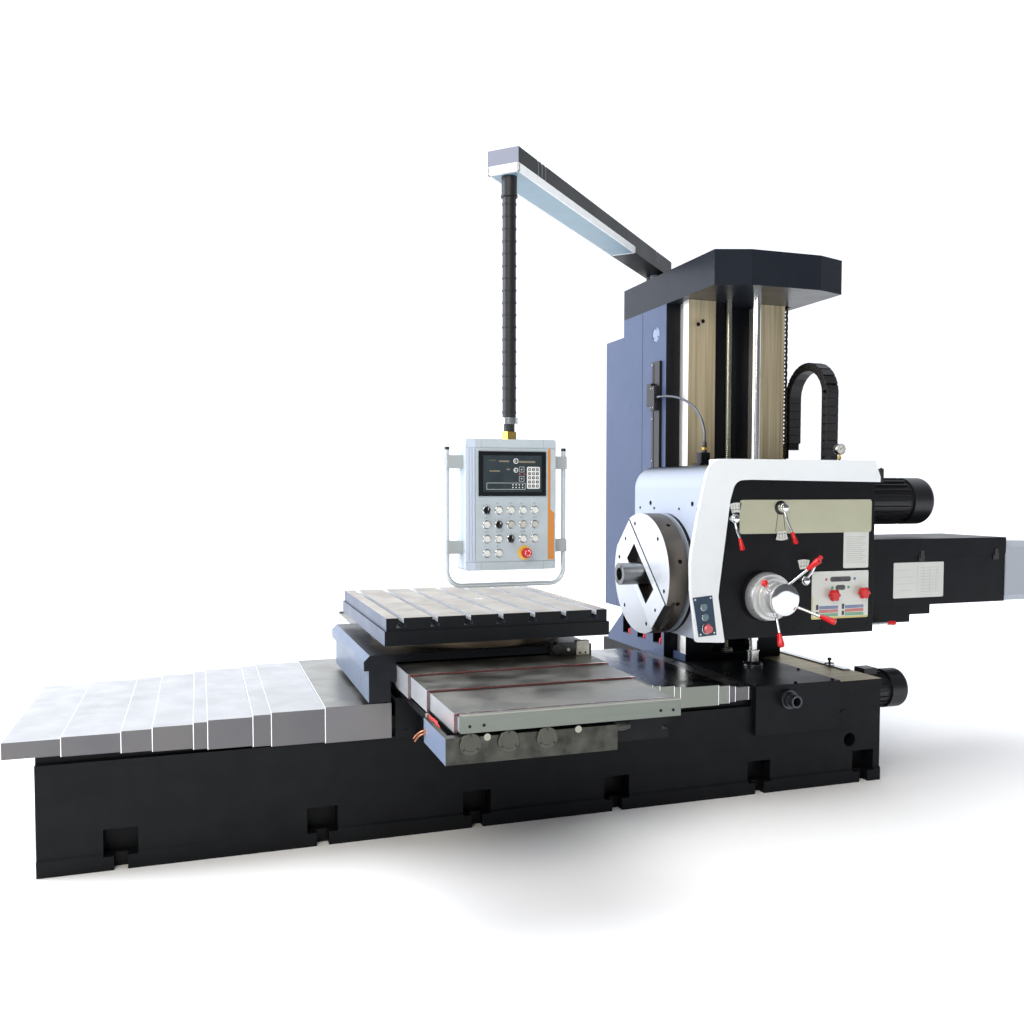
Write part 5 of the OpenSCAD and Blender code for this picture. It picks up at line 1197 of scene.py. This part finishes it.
# Upper slot walls turned to the left are painted near white: bare milled iron, lightened further as a
# painted highlight.
slot_wall_highlight = zone(table_iron, ("Z", table_top - 22, table_top - 1), ("X", -632.5, 326.5), ("X", -1))
overlay(table_iron, slot_wall_highlight, "#e8edf3", 0.3, 0.3)
coat(table_iron, "table")
piece("table_centre_plug", [
    (turning, place(table_x, spindle_y, table_top - 30, "top"),
     [(0, 0), (29.4, 0), (29.4, 29), (28.4, 29.9), (9, 29.9), (8, 27), (0, 27)], 48)], steel, "table")

# ---- Swivel arm ------------------------------------------------------------
# Folded sheet box on a pivot over the column's head cover. It carries the cables to the control
# station and a flat lamp under its outer end.
pivot_x, pivot_y = 1304, 723
arm_low, arm_high = 2787, 2850
arm_enamel = enamel("olive_slate_enamel", "#1b1d1b", 0.34)
outer_end = zone(arm_enamel, ("X", -0.7), ("Y", -0.7))
overlay(arm_enamel, outer_end, "#868a98")
coat(arm_enamel, "pendant_arm")
arm = place(pivot_x, pivot_y, 0, "top", 225)
# Soft white, finely textured.
lamp_frame = finish("white_powder_coat", "#e9ecee", 0.0, 0.4, (40, 0.3, "#cfd4d8"), (0.03, 4, 0.8))
piece("arm_lamp_frame", [
    (prism, arm, box(*sides), arm_low - 34, arm_low) for sides in
    ((598, 2050.6, -71, -62), (598, 2050.6, 62, 71), (598, 612, -71, 71), (2036, 2050.6, -71, 71))],
    lamp_frame, "pendant_arm", 0.8)
diffuser = finish("opal_acrylic", "#7a99aa", 0.0, 0.35, (120, 0.4, "#6c8a9b"))  # unlit, faintly blue
piece("arm_lamp_diffuser", [(prism, arm, box(606, 2040, -66, 66), arm_low - 33.2, arm_low - 31)],
      diffuser, "pendant_arm")
piece("arm_vents", [
    *((prism, arm, box(u - 1, u + 14, 60, 66.4), arm_low + 4, arm_high - 1)
      for u in (150, 182, 214, 1780, 1818, 1856)),
    *((screw, arm @ shift(u, v, arm_high - 1.5), 6, 2)
      for u, v in ((-50, -55), (-50, 55), (520, -60), (520, 60)))], knob_black, "pendant_arm")
# Dark grey with wet turned lines.
turn_ring = finish("greased_turned_ring", "#6b6d70", 1.0, 0.3, None, (0.03, 12, 0.8))
piece("arm_pivot_ring", [
    (turning, place(pivot_x, pivot_y, 2713, "top"), [(60, 0), (88, 0), (88, 3), (60, 3), (60, 0)], 48),
    *((screw, place(pivot_x, pivot_y, 2713, "top", 60 * k) @ shift(78), 6, 6) for k in range(6))],
    turn_ring, "pendant_arm")

# ---- Control station -------------------------------------------------------
# Aluminium profile box in pale blue-grey, hung on a steel tube and turned by its round rail. The
# read-out sits behind dark glass in a black frame above four rows of push buttons.
tube_black = finish("black_powder_coat", "#0f1216", 0.0, 0.50, None, (0.02, 8, 1.0))  # flat black
overlay(tube_black, [("Z", 1744.6, 1770.5)], "#c9cccf", 1.0, 0.2)
coat(tube_black, "pendant_tube")
station = enamel("pale_blue_grey_enamel", "#b7c3cb", 0.36, 2.5)
flute = zone(station, ("X", -312.5, -271), ("Y", -752, -744))
overlay(station, flute, "#c5d0e2")
clamps_x, clamps_z = ((-379, -312.4), (78.4, 145)), ((1561, 1613), (1212, 1264))
for low, high in clamps_z:
    for x0, x1 in clamps_x:
        clamp = zone(station, ("Z", low - 0.5, high + 0.5), ("X", x0, x1))
        overlay(station, clamp, "#a3a9ab")
uprights = ((1613.4, 1660), (1264.4, 1560.6), (1120, 1211.6))  # the rail between its clamps
rails = [(x_span, z_span) for x_span in ((-400, -362), (127, 160)) for z_span in uprights]
for x_span, z_span in rails + [((-400, 160), (1060, 1141))]:
    bar = zone(station, ("X", *x_span), ("Z", *z_span))
    overlay(station, bar, "#c9d1d6", 0.6, 0.40)
overlay(station, [("Z", 1679.3, 1714)], "#c9a94f", 1.0, 0.25)
bezel = zone(station, ("Y", -760, -749.3), ("Z", 1446, 1630), ("X", -259, 33))
overlay(station, bezel, "#14171a", roughness=0.3)
coat(station, "pendant_box")
piece("rail_end_caps", [
    (turning, place(x, -683.8, 1636, "top"), [(0, 0), (10.4, 0), (10.4, 10), (9, 12), (0, 12)], 24)
    for x in (-372, 138)], knob_black, "pendant_box")
# Dark, with a faint mirror in it.
glass = finish("smoked_read_out_glass", "#2e373c", 0.0, 0.08, (60, 0.6, "#3c474b"))
piece("read_out_glass", [(prism, place(-113, -753.8, 1538), outline(254, 150), -0.4, 0.6)],
      glass, "pendant_box")

codes = {"panel_white": "#e4e7e7", "panel_black": "#23272a", "panel_red": "#c8392f",
         "panel_orange": "#cf8216", "panel_amber": "#7d735c", "panel_yellow": "#ecc23c",
         "panel_seam": "#7f8c95"}
inks = {name: [] for name in codes}
white, black, seam, amber = [inks["panel_" + name] for name in ("white", "black", "seam", "amber")]
panel_y, screen_y = -748.8, -754.4
panel, screen = place(0, panel_y, 0), place(0, screen_y, 0)
keys, key_tops = place(0, screen_y - 0.2, 0), place(0, screen_y - 0.4, 0)
button_x, button_z, step_x, step_z = -223, 1389, 52, 58.5  # the first button and the pitch


def grid(column, row):
    """Where a button of the panel sits, as X and Z."""
    return button_x + step_x * column, button_z - step_z * row


for x in (-246, 24):
    print_patch(seam, panel, x, 1661, 1.4, 34)
    print_patch(seam, panel, x, 1160, 1.4, 31)
stripe = [(43, 1183), (72, 1183), (72, 1377), (55, 1391), (55, 1641), (43, 1641)]
inks["panel_orange"].append((prism, panel, stripe, 0, 0.5))
for z, r in ((1590, 11), (1553, 10)):
    for ink, x, radius, sides, low in ((white, -99, r, 28, 0), (black, -99, r - 3, 24, 0.2),
                                       (white, -102, 4, 3, 0.3)):
        spots = [(x + u, z + v) for u, v in disc(radius, sides)]
        ink.append((prism, screen, spots, low, 0.3 if low == 0 else low + 0.2))


def print_frame(ink, where, u, v, width, height, line):
    """A printed rectangle in outline."""
    for s in (1, -1):
        print_patch(ink, where, u, v + s * (height - line) / 2, width, line)
    for s in (1, -1):
        print_patch(ink, where, u + s * (width - line) / 2, v, line, height)


for z in (1556, 1518):
    print_frame(white, screen, -74, z, 22, 22, 1.2)
    print_patch(white, screen, -74, z, 9, 1.4)
    print_patch(white, screen, -74, z, 1.4, 9)
for x in (-83, -62):
    print_patch(inks["panel_red"], screen, x, 1537, 6, 6, 2.5)
print_patch(white, screen, -22.7, 1522, 57, 90, 5)
for i in range(3):
    for j in range(5):
        print_patch(black, keys, -39.7 + 17 * i, 1556 - 17 * j, 12, 12, 3)
        print_patch(white, key_tops, -39.7 + 17 * i, 1556 - 17 * j, 2 if (i + j) % 2 else 4, 5)
print_frame(white, screen, -141, 1487.5, 167, 27, 1.2)
for x in (-112, -98, -84, -70):
    for z in (1482, 1493):
        print_patch(white, screen, x, z, 5, 5, 1)
for x, z, w, h in ((-150, 1589, 44, 6), (-50, 1587, 70, 7), (-190, 1549, 46, 5), (-132, 1556, 14, 5),
                   (-200, 1592, 30, 3)):
    print_patch(amber, screen, x, z, w, h, 2)
selectors = ((0, 0), (1, 1), (2, 2))
buttons = [(i, j) for j in range(3) for i in range(5) if (i, j) not in selectors] + [(0, 3), (1, 3)]
for i, j in buttons:  # a small symbol printed over each button
    x, z = grid(i, j)
    for k in range(1 + (i + j) % 3):
        print_patch(seam, panel, x - 7 + 7 * k, z + 29, 5, 3 + 3 * ((i + k) % 2), 1)
for i, j in selectors:
    x, z = grid(i, j)
    for k in (-35, 0, 35):
        ink = black if j != 1 or k else inks["panel_red"]
        print_patch(ink, panel, *on_circle(23, 90 + k, x, z), 3, 3, 1)
stop_x, stop_z = grid(3, 3)
stop_x += 8
inks["panel_yellow"].append((turning, place(stop_x, panel_y, stop_z),
                             [(0, 0), (30, 0), (30, 1.2), (28, 2), (0, 2)], 48))
print_pieces(inks, codes, "pendant_box", 0.40, 0.25)

# Chromed rims that clamp the buttons and selectors in the panel.
piece("button_rims_panel", [
    (turning, place(x, panel_y, z), [(14.8, 0), (18.2, 0), (18.2, 2.4), (16.6, 4.2), (15.4, 4.6),
                                     (14.8, 3.6), (14.8, 0)], 32)
    for x, z in (grid(i, j) for i, j in (*buttons, *selectors))], chrome, "pendant_box")

# ---- Push buttons and selectors of the control station ---------------------
# Pearl-white moulded caps, black selector knobs with a white pointer line, and the red mushroom
# stop button on its yellow disc.
pearl = finish("pearl_white_cap", "#dcdfdc", 0.0, 0.22)  # creamy white, faintly mottled
grey_caps = zone(pearl, ("Z", 1316, 1345), ("X", -140, 20))
overlay(pearl, grey_caps, "#b4b4ab")
overlay(pearl, grain(pearl, 14, high=0.4), "#b9bdbc")
relief(pearl, 0.03, grain(pearl, 7), 1.6)
coat(pearl, "pendant_buttons")
piece("button_caps_panel", [
    (turning, place(x, panel_y, z),
     [(13.4, 6), (13.6, 9), (12.8, 10.4), (9, 9.8), (4, 9.3), (0, 9.2)], 28)
    for x, z in (grid(i, j) for i, j in buttons)], pearl, "pendant_buttons")
knob_ring = finish("selector_black", "#131416", 0.0, 0.2, None, (0.02, 8, 1.2))  # glossy moulded black
pointer = finish("pointer_white", "#eceeee", 0.0, 0.3, (12, 0.3, "#cdd0d0"))  # clean matt white
wing = [(-5, -13), (5, -13), (5.6, 0), (4.2, 13), (-4.2, 13), (-5.6, 0)]
for number, (i, j) in enumerate(selectors):
    name = "selector_" + str(number + 1)
    x, z = grid(i, j)
    where = place(x, panel_y, z)
    knob = piece(name + "_knob", [
        (turning, where, [(0, 0.2), (14.2, 0.2), (14.2, 8), (12.6, 10), (0, 10)], 36),
        (prism, where, wing, 9.6, 26)], knob_ring, name, 1.2)
    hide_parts(name)
    piece(name + "_pointer", [(prism, where, box(-1, 1, 2, 12), 25.8, 26.3)], pointer, name)
coat(red_resin, "pendant_stop_button")
stop_face = place(stop_x, panel_y - 42, stop_z)
arrows = []
for start in (0, 120, 240):
    arc = [on_circle(r, start + a)
           for r, run in ((12.4, range(0, 66, 6)), (10.2, range(60, -6, -6))) for a in run]
    head = stop_face @ swung(start + 68) @ shift(11.3)
    arrows += [(prism, stop_face, arc, -0.4, 0.3),
               (prism, head, [(-3.6, -1), (3.6, -1), (0, 5)], -0.4, 0.3)]
piece("stop_button_arrows", arrows, pointer, "pendant_stop_button")
